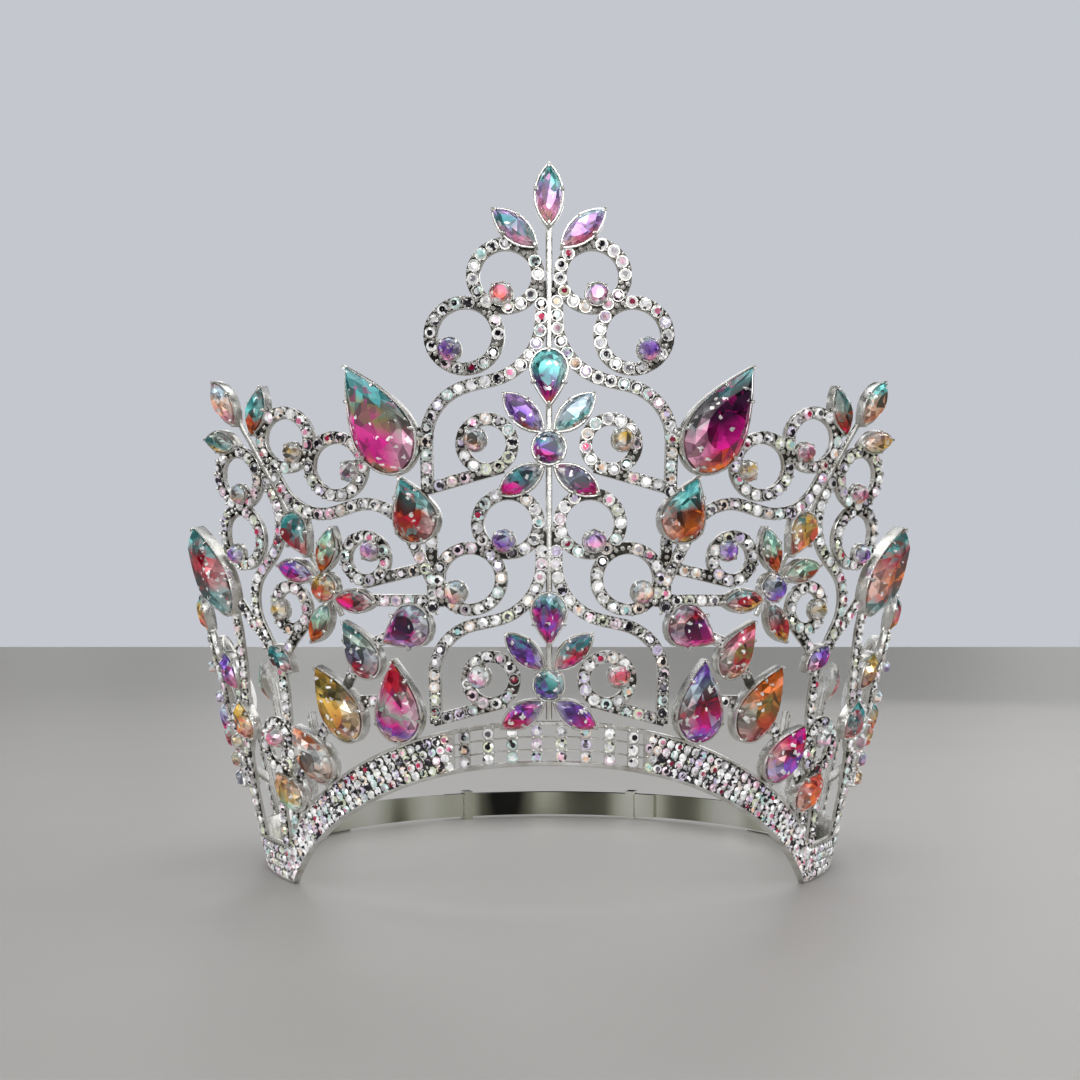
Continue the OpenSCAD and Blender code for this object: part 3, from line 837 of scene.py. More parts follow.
def side_openwork():
    """The right side. A link's row says from where, to where, its bow and its layer."""
    stones = WALL_STONES
    side_foot = tier_spot(SIDE, 0.972 * SIDE.half, -0.33 * SIDE.half)
    flower_foot = flower(SIDE)["foot_left"]
    large = stones["side_large_pear"]
    pear_foot = moved(large, -4, -7)
    made = [loop(plane_at(row[0], row[1]), 0, 0, row[2]) for row in WALL_LOOPS]
    made += tier_of_scrolls(SIDE, LOOPS, STEM_TOP)
    made += tier_of_scrolls(REAR, LOOPS[:2], STEM_TOP)
    upper_post = tier_spot(UPPER, 0.95 * UPPER.half, 0.1 * UPPER.half)
    rear_post = tier_spot(REAR, -0.972 * REAR.half, -0.2 * REAR.half)
    for start, end, bow, layer in (
        (side_foot, on_band(ARCH_HALF_ANGLE), 42, 1),
        (pear_foot, on_band(SIDE_AZIMUTH + 31.5), 36, 1),
        (rear_post, moved(pear_foot, 1.5, -13), 0, 1),
        (on_band(REAR_AZIMUTH + 36), moved(END_PEAR, 0, 9), 20, 1),
        (moved(WALL_LOOPS[2], -4.6, 4.6), END_LEAF, 0, 1),
        ((POST, 0.88 * UPPER_HEIGHT), (POST, 0.66 * UPPER_HEIGHT), 0, 2),
        ((POST - 1.7, 0.675 * UPPER_HEIGHT), flower_foot, 0, 2),
        (side_foot, large, 0, 2),
        (upper_post, stones["post_large_pear"], 0, 2),
        (stones["post_middle_pear"], stones["low_pear_1"], 0, 2),
        (stones["low_pear_1"], stones["low_pear_2"], 0, 2),
        (stones["post_lower_pear"], stones["low_pear_2"], 0, 2),
        (stones["low_pear_2"], stones["low_pear_4"], 0, 2),
        (stones["low_pear_4"], on_band(stones["low_pear_4"].azimuth + 3), 0, 2),
    ):
        made.append(link(start, end, bow, layer))
    return made


def mirror_copy(shape):
    other = shape.copy()
    bmesh.ops.scale(other, vec=(-1, 1, 1), verts=other.verts)
    bmesh.ops.reverse_faces(other, faces=other.faces)
    return other


def parts_and_seats(made):
    return joined(shape for shape, _ in made), [seat for _, seats in made for seat in seats]


centre_metal, centre_seats = parts_and_seats(
    tier_of_scrolls(UPPER, LOOPS, STEM_TOP) + tier_of_scrolls(LOWER, LOOPS, LOWER_STEM_TOP))
side_metal, side_seats = parts_and_seats(side_openwork())
left_metal = mirror_copy(side_metal)
for name, metal in (("centre", centre_metal), ("right", side_metal), ("left", left_metal)):
    piece(name + "_scrolls", metal, CAST_SILVER, ["crown_frame"], True,
          second=PAINTED_SHADE_SILVER)
print("seats:", len(centre_seats), "in the centre,", len(side_seats), "on a side")

# %% [markdown]
# ## The base band
#
# The band is a strip of sheet with a plain rounded wire along both edges, and four rows of
# small stones between them. Its drawing plane is simple: X is the azimuth, Y the height above
# the arch. The ring of edges is extruded step by step along the azimuth, then carried over.

# %% Base band
LADDER_END = 15.5
EDGE_WIRE = 0.9
SWEEP_STEP = 1.5

# Height above the arch and how far out, from the lower edge up: wire, hollow, wire
BAND_PROFILE = [
    (0.0, 0.3), (0.0, 1.5), (0.2, 1.85), (0.7, 1.85), (EDGE_WIRE, 1.5), (EDGE_WIRE, 1.25),
    (BAND_HEIGHT - EDGE_WIRE, 1.25), (BAND_HEIGHT - EDGE_WIRE, 1.5), (BAND_HEIGHT - 0.7, 1.85),
    (BAND_HEIGHT - 0.2, 1.85), (BAND_HEIGHT, 1.5), (BAND_HEIGHT, 0.3), (BAND_HEIGHT - 0.3, 0.0),
    (0.3, 0.0),
]


def swept_along_band(start, end, profile):
    """Sweeps a closed profile from one azimuth to another, above the arch."""
    shape = bmesh.new()
    steps = max(1, math.ceil(abs(end - start) / SWEEP_STEP))
    edges = ring_of_edges(shape, [(start, y, n) for y, n in profile])
    for _ in range(steps):
        edges = extruded(shape, edges)
        bmesh.ops.translate(shape, vec=((end - start) / steps, 0, 0), verts=corners_of(edges))
    bmesh.ops.holes_fill(shape, edges=[e for e in shape.edges if e.is_boundary])
    for corner in shape.verts:
        azimuth, above, out = corner.co
        corner.co = on_wall(azimuth, arch(azimuth) + above, out)
    bmesh.ops.recalc_face_normals(shape, faces=shape.faces)
    return shape


band = [swept_along_band(side * LADDER_END, side * BAND_END, BAND_PROFILE) for side in (1, -1)]
print("faces of a half of the band:", len(band[0].faces))

# %% [markdown]
# The hollow between the wires is painted dark, as painted shade under the stones, like the
# strands' plates. A face belongs to it if it lies between the wires and as far out as the hollow
# is. Beside the ladder it stays bright.

# %% Painted shade in the hollow


def is_hollow(face):
    """Whether a face of the band is under the stones: between its wires, not beside the ladder."""
    at = face.calc_center_median() / MM
    azimuth = math.degrees(math.atan2(at.x, -at.y))
    out = math.hypot(at.x, at.y) - wall_radius(azimuth, at.z)
    return (1.1 < out < 1.3 and EDGE_WIRE < at.z - arch(azimuth) < BAND_HEIGHT - EDGE_WIRE
            and abs(azimuth) > LADDER_END + 1)


# The hollow's faces get the painted shade metal.
for shape in band:
    for face in shape.faces:
        face.material_index = int(is_hollow(face))
print("dark faces:", sum(face.material_index for shape in band for face in shape.faces))

# %% [markdown]
# ## The ladder
#
# Over the forehead the band opens into a ladder of two rails, eight posts and two thin wires.
# All of them are boxes with broken edges, swept along the band like the rest of it.

# %% Ladder
LADDER_POSTS = 8
POST_WIDTH, POST_INSET = 2.3, 0.3
RAIL_HEIGHT, RAIL_DEPTH = 1.2, 1.8
# How far the rails reach into the band, in degrees
RAIL_LAP = 0.4
# Heights of the two wires above the arch, and half of their thickness
LADDER_WIRES, HALF_WIRE = (3.75, 6.75), 0.2


def box_profile(low, high, inner, outer):
    edge = min(0.25, (high - low) / 4)
    return [(low, inner + edge), (low, outer - edge), (low + edge, outer), (high - edge, outer),
            (high, outer - edge), (high, inner + edge), (high - edge, inner), (low + edge, inner)]


for low, high in ((0, RAIL_HEIGHT), (BAND_HEIGHT - RAIL_HEIGHT, BAND_HEIGHT)):
    band.append(swept_along_band(-LADDER_END - RAIL_LAP, LADDER_END + RAIL_LAP,
                                 box_profile(low, high, 0, RAIL_DEPTH)))
for height in LADDER_WIRES:
    band.append(swept_along_band(-LADDER_END, LADDER_END,
                                 box_profile(height - HALF_WIRE, height + HALF_WIRE, 0.7, 1.1)))
POST_PITCH = 2 * LADDER_END / LADDER_POSTS
POST_HALF = POST_WIDTH / 2 * degrees_per_mm(0, ARCH_RISE + BAND_HEIGHT)
POST_MIDDLES = [(k + 0.5) * POST_PITCH - LADDER_END for k in range(LADDER_POSTS)]
for middle in POST_MIDDLES:
    band.append(swept_along_band(
        middle - POST_HALF, middle + POST_HALF,
        box_profile(POST_INSET, BAND_HEIGHT - POST_INSET, 0.25, 1.45)))
piece("base_band", joined(band), CAST_SILVER, ["crown_frame"], True,
      second=PAINTED_SHADE_SILVER)

# %% [markdown]
# ## Outlines of the cut stones
#
# Three outlines are enough: a round, a leaf (two arcs that meet in two points) and a pear.
# Each is a function that gives half the width at a height between -1 and 1. The rings of a
# stone or of its cup are the same outline at different sizes.

# %% Outlines
# Where a pear is widest, between -1 at its foot and 1 at its tip
PEAR_WAIST = -0.3
CUP_DEPTH, STONE_GAP = 2.0, 0.15


def half_width(shape, y, slimness):
    y = max(-1.0, min(1.0, y))
    if shape == "round":
        return math.sqrt(1 - y * y)
    if shape == "leaf":
        k = max(1.2, slimness)
        big = (k * k + 1) / 2
        return math.sqrt(big * big - (k * y) ** 2) - (big - 1)
    if y < PEAR_WAIST:
        return math.sqrt(max(0.0, 1 - ((y - PEAR_WAIST) / (1 + PEAR_WAIST)) ** 2))
    return 1 - ((y - PEAR_WAIST) / (1 - PEAR_WAIST)) ** 1.55


def outline(stone, count, offset, shift=0.0):
    """Points round a stone's outline, made larger by an offset. shift 0.5 is half a step."""
    half_w, half_l = stone.width / 2, stone.length / 2
    points = []
    for i in range(count):
        angle = 2 * math.pi * (i + shift) / count
        y = math.cos(angle)
        x = math.copysign(half_width(stone.shape, y, half_l / half_w), math.sin(angle))
        if abs(math.sin(angle)) < 1e-6:
            x = 0.0
        points.append(Vector((x * (half_w + offset), y * (half_l + offset), 0)))
    return points


def thickness_of(stone):
    return 1.1 + 0.3 * stone.width


def seat_height(on_loop):
    return (STRAND_DEPTH if on_loop else CUP_DEPTH) + STONE_GAP


print("a pear is", round(half_width("pear", 0.5, 1), 2), "of its width halfway to its tip")

# %% [markdown]
# ## Claws
#
# A claw is a round wire that stands up from the cup and bends over the stone's edge, where a
# setter presses it down. It starts as a small disc that is extruded, leaned and scaled.

# %% Claws
CLAW_RADIUS = 0.42
# How far outside the stone's edge a claw stands, and how deep it reaches into the cup's rim
CLAW_OUT, CLAW_FOOT = 0.25, 0.5
# A claw's bend: how far up, how far inwards, and the wire's new size
CLAW_BEND = ((0.25, 0.25, 0.95), (0.12, 0.35, 0.75), (0.0, 0.2, 0.4))


def edges_of(corners):
    return list(dict.fromkeys(edge for corner in corners for edge in corner.link_edges))


def claw_places(stone, claws):
    """Where the claws stand, and which way they bend."""
    places = []
    for i in range(claws):
        points = outline(stone, claws, CLAW_OUT, 0.5 if stone.shape == "round" else 0.0)
        point = points[i]
        if stone.shape != "round" and claws == 4 and i in (1, 3):
            point.y += 0.1 * stone.length
        places.append((point, -point.normalized()))
    return places


def add_claw(shape, point, inwards, stone, floor_out, rim_out):
    """A round wire that stands up from the cup and bends over the stone's edge."""
    top = floor_out + 0.42 * thickness_of(stone)
    ring = bmesh.ops.create_circle(shape, cap_ends=True, segments=6, radius=CLAW_RADIUS)["verts"]
    bmesh.ops.translate(shape, vec=(point.x, point.y, rim_out - CLAW_FOOT), verts=ring)
    edges = edges_of(ring)
    for lift, lean, size in ((top - rim_out + CLAW_FOOT, 0.0, 1.0), *CLAW_BEND):
        edges = extruded(shape, edges)
        corners = corners_of(edges)
        middle = sum((c.co for c in corners), Vector()) / len(corners)
        step = inwards * lean + Vector((0, 0, lift))
        bmesh.ops.translate(shape, vec=step, verts=corners)
        bmesh.ops.scale(shape, vec=(size, size, size), verts=corners,
                        space=Matrix.Translation(-(middle + step)))
    bmesh.ops.contextual_create(shape, geom=edges)


print("a claw is", 2 * CLAW_RADIUS, "mm thick")

# %% [markdown]
# ## Cups
#
# A cup is a low wall of metal round the stone with a floor. It starts as a circle whose
# vertices are set on the stone's outline; then each step is an extrude and a small scale or
# lift: up the outside, over the rim, down the inside.

# %% Cups
CUP_RIM, CUP_INSIDE = 0.7, 0.08
CUP_FOOT = 0.3


def lifted(shape, edges, stone, out, offset, now):
    """Extrudes the ring to a new height, and scales it from one offset to another."""
    edges = extruded(shape, edges)
    corners = corners_of(edges)
    bmesh.ops.translate(shape, vec=(0, 0, out - corners[0].co.z), verts=corners)
    scale = ((stone.width / 2 + offset) / (stone.width / 2 + now),
             (stone.length / 2 + offset) / (stone.length / 2 + now), 1)
    bmesh.ops.scale(shape, vec=scale, verts=corners)
    return edges


def cup(stone, floor_out, rim_out, foot_out=CUP_FOOT, count=24, claws=4, rim=CUP_RIM):
    """Extrudes the cup: each step goes to a height above the wall and an offset."""
    shape = bmesh.new()
    made = bmesh.ops.create_circle(shape, cap_ends=False, segments=count, radius=1.0)["verts"]
    for corner, point in zip(made, outline(stone, count, rim)):
        corner.co = (point.x, point.y, foot_out)
    edges = first = edges_of(made)
    now = rim
    for out, offset in ((rim_out - 0.25, rim), (rim_out, rim - 0.15), (rim_out, 0.22),
                        (rim_out - 0.2, CUP_INSIDE), (floor_out, CUP_INSIDE)):
        edges = lifted(shape, edges, stone, out, offset, now)
        now = offset
    bmesh.ops.contextual_create(shape, geom=first)
    bmesh.ops.contextual_create(shape, geom=edges)
    for point, inwards in claw_places(stone, claws):
        add_claw(shape, point, inwards, stone, floor_out, rim_out)
    bmesh.ops.recalc_face_normals(shape, faces=shape.faces)
    bmesh.ops.transform(shape, verts=shape.verts,
                        matrix=wall_matrix(stone.azimuth, stone.height, 0, stone.turn))
    return shape


# %% [markdown]
# Now all the cups are made. The largest stones get six claws, the others four. A loop
# stone's cup stands on the strand, so it starts inside the strand and is finer.

# %% All the cups
# Stones longer than this get more claws and more facets
LARGE_FROM = 14


def mirrored(stone):
    return stone._replace(azimuth=-stone.azimuth, turn=-stone.turn)


def cups(name, stones, loop_stones):
    made = []
    for stone in stones:
        big = stone.length > LARGE_FROM
        made.append(cup(stone, CUP_DEPTH, CUP_DEPTH + 0.26 * thickness_of(stone),
                        count=32 if big else 20, claws=6 if big else 4))
    for stone in loop_stones:
        made.append(cup(stone, STRAND_DEPTH, STRAND_DEPTH + 0.7, foot_out=STRAND_DEPTH / 2,
                        count=14, rim=0.45))
    return piece(name, joined(made), CAST_SILVER, ["crown_frame"], True)


UPPER_FLOWER, LOWER_FLOWER = flower(UPPER), flower(LOWER)
TOP_TRIO = trio(UPPER, "left", "right")
CENTRE_STONES = [*UPPER_FLOWER.values(), *LOWER_FLOWER.values(), *TOP_TRIO.values()]
RIGHT_STONES = [*WALL_STONES.values(), *SIDE_TRIO.values(), *SMALL_SIDE_STONES]
cups("centre_cups", CENTRE_STONES, CENTRE_LOOP_STONES)
cups("right_cups", RIGHT_STONES, SIDE_LOOP_STONES)
cups("left_cups", [mirrored(s) for s in RIGHT_STONES], [mirrored(s) for s in SIDE_LOOP_STONES])

# %% [markdown]
# ## The colours of the cut stones
#
# A coated stone runs through several colours, and they follow its place in the crown more than
# its own axis. So each stone has a short recipe that runs from the stone's top to its foot.

# %% Palette
PALETTE = {
    "teal": srgb(52, 146, 150), "aqua": srgb(112, 206, 204), "ice": srgb(200, 226, 242),
    "slate": srgb(112, 122, 146), "sage": srgb(150, 168, 156), "mint": srgb(172, 222, 192),
    "violet": srgb(122, 78, 194), "lilac": srgb(184, 142, 218), "purple": srgb(96, 28, 124),
    "plum": srgb(66, 18, 56), "magenta": srgb(216, 24, 142), "rose": srgb(226, 110, 142),
    "pink": srgb(242, 156, 196), "crimson": srgb(192, 24, 52), "coral": srgb(232, 92, 72),
    "rust": srgb(168, 64, 34), "orange": srgb(238, 122, 40), "gold": srgb(226, 182, 84),
    "olive": srgb(120, 108, 54), "peach": srgb(242, 188, 154), "clear": srgb(226, 230, 228),
    "night": srgb(34, 30, 44),
}

# From the top of the stone to its foot, as it stands in the crown
RECIPES = {
    "top_leaf_middle": "teal aqua lilac pink peach",
    "top_leaf_left": "ice lilac teal pink orange",
    "top_leaf_right": "teal ice lilac rose peach",
    "upper_pear": "teal aqua aqua teal purple magenta orange",
    "upper_leaf_left": "slate lilac lilac violet rust orange",
    "upper_leaf_right": "teal slate ice ice aqua orange gold",
    "upper_round": "ice slate teal violet magenta purple",
    "upper_foot_left": "clear slate teal slate magenta crimson",
    "upper_foot_right": "crimson purple slate slate magenta crimson",
    "lower_pear": "ice aqua purple magenta violet magenta rose",
    "lower_leaf_left": "aqua teal purple violet magenta magenta",
    "lower_leaf_right": "aqua slate teal crimson magenta violet",
    "lower_round": "clear aqua slate teal violet slate",
    "lower_foot_left": "violet purple violet magenta crimson pink",
    "lower_foot_right": "violet violet purple violet magenta rose",
    "post_large_pear_left": "teal aqua teal teal olive magenta magenta magenta orange orange",
    "post_large_pear_right": "aqua aqua teal night plum magenta magenta crimson orange gold",
    "post_upper_pear_left": "teal teal aqua rust crimson rust orange",
    "post_upper_pear_right": "rust teal aqua rust orange rust gold",
    "post_middle_pear_left": "slate ice plum purple magenta lilac orange gold",
    "post_middle_pear_right": "ice plum crimson purple magenta magenta orange gold",
    "post_lower_pear_left": "orange crimson crimson magenta sage magenta violet peach",
    "post_lower_pear_right": "violet violet ice plum crimson magenta violet magenta",
    "low_pear_1_left": "teal teal sage slate plum crimson rose",
    "low_pear_1_right": "olive rust rose olive crimson peach rust",
    "low_pear_2_left": "sage gold olive gold rust gold sage",
    "low_pear_2_right": "teal rust orange olive rust crimson crimson",
    "low_pear_3_left": "rust orange clear peach rust coral",
    "low_pear_3_right": "coral magenta crimson violet magenta coral",
    "low_pear_4_left": "orange peach gold mint coral",
    "low_pear_4_right": "crimson coral orange peach",
    "side_large_pear_left": "teal teal aqua crimson crimson teal teal sage rust",
    "side_large_pear_right": "teal teal aqua crimson orange rust teal sage peach",
    "side_top_leaf_middle_left": "teal ice peach rose peach",
    "side_top_leaf_front_left": "teal teal aqua rust orange",
    "side_top_leaf_back_left": "ice sage teal gold peach",
    "side_top_leaf_middle_right": "teal aqua peach orange gold",
    "side_top_leaf_front_right": "teal sage rust crimson",
    "side_top_leaf_back_right": "ice peach gold mint",
}
SMALL_RECIPES = ["teal mint rust orange", "aqua teal crimson orange", "ice violet magenta orange",
                 "teal crimson gold", "clear slate violet rose", "teal gold coral peach",
                 "mint gold rust orange", "aqua crimson magenta"]
ROUND_RECIPES = ["clear pink rose peach", "clear lilac pink clear", "ice clear peach pink",
                 "clear rose coral clear", "clear gold clear peach", "ice lilac violet pink",
                 "clear clear pink ice"]
print(len(PALETTE), "colours and", len(RECIPES), "recipes")

# %% [markdown]
# The recipe runs over the stone on a slant, and the rim towards the crown's middle stays
# clear. A facet strays a little from its zone of the recipe, and its colour is painted darker or
# brighter than its neighbours': painted glitter, which makes a cut stone glitter even in soft
# light.

# %% Colours of the facets
SLANT = 0.4


def facet_mood(rng, in_table):
    """How far a facet strays from its zone, and how bright it is painted, as painted glitter."""
    stray = rng.uniform(-0.45, 0.45) if in_table else rng.uniform(-0.3, 0.3)
    return stray, rng.choice((0.18, 0.5, 0.8, 1.0, 1.25) if in_table else (0.4, 0.75, 1.0, 1.1))


def blend(first, second, share):
    return tuple(a + (b - a) * share for a, b in zip(first, second))


def zone_colour(stone, recipe, at, mood, in_table):
    """The colour of a place on the stone: the recipe's zone, strayed and painted lighter or darker
    by the mood.
    """
    names = recipe.split()
    half_w, half_l = stone.width / 2, stone.length / 2
    reach = abs(half_w * sin(stone.turn)) + abs(half_l * cos(stone.turn))
    up = (at.y * cos(stone.turn) - at.x * sin(stone.turn)) / reach
    inwards = (at.x * cos(stone.turn) + at.y * sin(stone.turn)) / reach
    if stone.azimuth > 0:
        inwards = -inwards
    spot = (1 - up - SLANT * inwards) / 2 * (len(names) - 1) + mood[0]
    spot = max(0.0, min(len(names) - 1.001, spot))
    share = max(0.0, min(1.0, (spot % 1 - 0.3) / 0.4))
    colour = blend(PALETTE[names[int(spot)]], PALETTE[names[int(spot) + 1]], share)
    if not in_table:
        colour = blend(colour, PALETTE["clear"], max(0.0, min(0.45, 1.5 * inwards - 0.3)))
    return tuple(min(1.0, c * mood[1]) for c in colour)


print("halfway from teal to gold:",
      [round(c, 2) for c in blend(PALETTE["teal"], PALETTE["gold"], 0.5)])

# %% [markdown]
# ## Cutting a stone
#
# A faceted stone is the convex hull of a few rings of points: the back, the girdle, a ring
# turned by half a step, and the table. The half step is what makes the facets triangles and
# kites. A few straight cuts then part the flat table into shards, as the facets of the stone's
# back show through it.

# %% Cutting
TABLE_SHARE = 0.6
# Rings of a cut stone: size, height as a share of its thickness, turn as a share of a step
STONE_RINGS = ((0.86, 0.0, 0.0), (1.0, 0.3, 0.0), (0.83, 0.68, 0.5), (TABLE_SHARE, 1.0, 0.0))
COLOUR_LAYERS = ("tint", "under")
# Facets that differ by a smaller angle are one, and the table is all that is this near the top
FLAT_ANGLE, TABLE_SKIN = 2.5, 1e-3


def part_table(shape, top, stone, rng):
    """Straight cuts through the flat table."""
    cuts = 6 if stone.length > LARGE_FROM else 4 if stone.length > 8 else 3
    for k in range(cuts):
        table = [f for f in shape.faces if f.calc_center_median().z > top]
        edges = dict.fromkeys(e for f in table for e in f.edges)
        corners = dict.fromkeys(v for f in table for v in f.verts)
        angle = 180 * (k + rng.uniform(-0.3, 0.3)) / cuts
        normal = Vector((cos(angle), sin(angle), 0))
        bmesh.ops.bisect_plane(shape, geom=[*table, *edges, *corners], plane_no=normal,
                               plane_co=normal * rng.uniform(-0.24, 0.24) * stone.width)


def cut_stone(stone, recipe, rng, on_loop):
    """Cuts one stone in place and colours its facets."""
    shape = bmesh.new()
    tint, under = (shape.loops.layers.float_color.new(n) for n in COLOUR_LAYERS)
    count = 16 if stone.length > 11 else 12 if stone.length > 6 else 10
    thick = thickness_of(stone)
    for size, out, shift in STONE_RINGS:
        for point in outline(stone, count, 0.0, shift):
            shape.verts.new((point.x * size, point.y * size, out * thick))
    bmesh.ops.convex_hull(shape, input=shape.verts)
    bmesh.ops.dissolve_limit(shape, angle_limit=math.radians(FLAT_ANGLE), verts=shape.verts,
                             edges=shape.edges)
    part_table(shape, thick - TABLE_SKIN, stone, rng)
    for face in shape.faces:
        in_table = face.calc_center_median().z > thick - TABLE_SKIN
        mood, other = facet_mood(rng, in_table), facet_mood(rng, True)
        for corner in face.loops:
            at = corner.vert.co
            corner[tint] = rgba(zone_colour(stone, recipe, at, mood, in_table))
            corner[under] = rgba(zone_colour(stone, recipe, -0.35 * at, other, True))
    out = seat_height(on_loop)
    bmesh.ops.transform(shape, verts=shape.verts,
                        matrix=wall_matrix(stone.azimuth, stone.height, out, stone.turn))
    return shape


# %% [markdown]
# Each main stone has a node of its own in the CAD model, so each is a piece of its own here,
# and takes the place of that node.

# %% Main stones


def cut(name, stone, recipe, seed):
    shape = cut_stone(stone, recipe, random.Random(seed), False)
    return piece(name + "_cut", shape, LARGE_GLASS, [name])


MAIN_STONES = {"top_leaf_" + k: v for k, v in TOP_TRIO.items()}
MAIN_STONES.update({"upper_" + k: v for k, v in UPPER_FLOWER.items()})
MAIN_STONES.update({"lower_" + k: v for k, v in LOWER_FLOWER.items()})
for end, other in (("_right", lambda s: s), ("_left", mirrored)):
    MAIN_STONES.update({k + end: other(v) for k, v in WALL_STONES.items()})
    MAIN_STONES.update({"side_top_leaf_" + k + end: other(v) for k, v in SIDE_TRIO.items()})
for number, (name, stone) in enumerate(MAIN_STONES.items()):
    cut(name, stone, RECIPES[name], 100 + number)
print("main stones:", len(MAIN_STONES))

# %% [markdown]
# The smaller stones share two nodes of the CAD model, so they are joined into two pieces.

# %% Fields of stones


def both_sides(stones):
    return [*stones, *(mirrored(s) for s in stones)]


def cut_field(name, stones, recipes, seed, on_loop):
    rng = random.Random(seed)
    shape = joined((cut_stone(s, rng.choice(recipes), rng, on_loop) for s in stones),
                   COLOUR_LAYERS)
    return piece(name + "_cut", shape, LARGE_GLASS, [name])


cut_field("side_leaf_stones", both_sides(SMALL_SIDE_STONES), SMALL_RECIPES, 7, False)
cut_field("loop_stones", CENTRE_LOOP_STONES + both_sides(SIDE_LOOP_STONES), ROUND_RECIPES, 8, True)

# %% [markdown]
# ## The small stones
#
# More than 1400 small stones share one shape: eight facets, a table and a flat back. Each
# stands in a small cup, with beads of metal beside it, as a setter raises them.

# %% Shapes of the small parts
SMALL_STONE = 2.6
STONE_SIDES, CUP_SIDES = 8, 10


def small_stone_shape(diameter):
    shape = bmesh.new()
    for size, out in ((1.0, 0.0), (0.56, 0.22)):
        ring = bmesh.ops.create_circle(shape, cap_ends=False, segments=STONE_SIDES,
                                       radius=diameter / 2 * size)
        bmesh.ops.translate(shape, vec=(0, 0, out * diameter), verts=ring["verts"])
    bmesh.ops.bridge_loops(shape, edges=shape.edges)
    bmesh.ops.holes_fill(shape, edges=[e for e in shape.edges if e.is_boundary])
    bmesh.ops.recalc_face_normals(shape, faces=shape.faces)
    return shape


def small_cup_shape(diameter):
    shape = bmesh.new()
    bmesh.ops.create_cone(shape, cap_ends=True, segments=CUP_SIDES, radius1=diameter * 0.46,
                          radius2=diameter * 0.57, depth=0.9)
    bmesh.ops.translate(shape, vec=(0, 0, -0.45), verts=shape.verts)
    return shape


def bead_shape(radius):
    shape = bmesh.new()
    bmesh.ops.create_icosphere(shape, subdivisions=1, radius=radius)
    return shape


print("small stones are", SMALL_STONE, "mm across")

# %% [markdown]
# From stone to stone the tables are painted clear, dark or coloured, and some crowns are painted
# as dark rings: painted reflections, because each real stone mirrors another part of the room,
# together with the coating's tints. A seeded random generator draws them.

# %% Colours of the small stones
STONE_SHADES = [srgb(250, 250, 250)] * 5 + [
    srgb(240, 214, 228), srgb(222, 212, 240), srgb(210, 236, 232), srgb(246, 228, 214),
    srgb(228, 236, 206), srgb(196, 194, 198)]
TABLE_SHADES = [srgb(250, 250, 252)] * 13 + [srgb(24, 20, 28)] * 6 + [
    srgb(132, 18, 54), srgb(190, 44, 84), srgb(232, 130, 166), srgb(240, 170, 198),
    srgb(240, 196, 214), srgb(206, 190, 226), srgb(170, 214, 214), srgb(244, 206, 178),
    srgb(110, 104, 114), srgb(196, 190, 196)]
PAINTED_DARK_REFLECTION = srgb(44, 40, 48)
# Shares of facets painted dark as painted reflections: of a usual stone and of a dark ring, and how
# many stones are such rings
FEW_DARK, MANY_DARK, RING_SHARE = 0.14, 0.75, 0.16


def coloured(shapes, rng):
    """Gives each small stone its table's colour, and its crown facets their own, painted
    reflections among them.
    """
    for shape in shapes:
        tint, under = (shape.loops.layers.float_color.new(n) for n in COLOUR_LAYERS)
        table, crown = rng.choice(TABLE_SHADES), rng.choice(STONE_SHADES)
        dark_share = MANY_DARK if rng.random() < RING_SHARE else FEW_DARK
        cast = rng.choice(STONE_SHADES)
        for face in shape.faces:
            colour = PAINTED_DARK_REFLECTION if rng.random() < dark_share else crown
            colour = colour if len(face.verts) == 4 else table
            for corner in face.loops:
                corner[tint], corner[under] = rgba(colour), rgba(cast)
        yield shape


print(len(STONE_SHADES), "shades for crowns,", len(TABLE_SHADES), "for tables")

# %% [markdown]
# Each copy is joined into one mesh with a matrix from its seat, which also tips it a little,
# so that no two mirror the same spot.

# %% Copies
MOST_TIPPED = 0.13


def copies(shape, matrices):
    """A copy of a small shape for each matrix."""
    for matrix in matrices:
        copy = shape.copy()
        bmesh.ops.transform(copy, matrix=matrix, verts=copy.verts)
        yield copy


def set_small_stones(name, diameter, places, rng):
    stones = coloured(copies(small_stone_shape(diameter), places), rng)
    return piece(name, joined(stones, COLOUR_LAYERS), SMALL_GLASS)


def set_metal(name, shape, places):
    return piece(name, joined(copies(shape, places)), CAST_SILVER, smooth=True)


def tipped(azimuth, height, out, rng):
    """A small stone's place: turned at random and tipped by a few degrees."""
    place = wall_matrix(azimuth, height, out, rng.uniform(0, 45))
    tip = Matrix.Rotation(rng.uniform(-MOST_TIPPED, MOST_TIPPED), 4, "X")
    return place @ tip @ Matrix.Rotation(rng.uniform(-MOST_TIPPED, MOST_TIPPED), 4, "Y")


print("a small stone is tipped by", round(math.degrees(MOST_TIPPED), 1), "degrees at most")

# %% [markdown]
# ## Seats that are taken
#
# A seat is left out if another stone or a large stone's cup is in its way. Where that leaves a
# bare piece of the plate, which is painted dark as painted shade, a larger bead of metal fills it.

# %% Seats that are taken
# Least distances between two stones, from a stone to a filling bead, and between those
STONE_SPACING, BARE_GAP, BEAD_GAP = ROW_PITCH - 0.15, 1.8, 1.15
# Filling beads are also tried this far beside the middle of the plate
PLATE_SIDE = 0.8
# Room around a small and a large stone's cup, and how much nearer a bead may come
SMALL_MARGIN, LARGE_MARGIN, BEAD_SPARE = 0.75, 1.15, 0.2
COVERS = {}


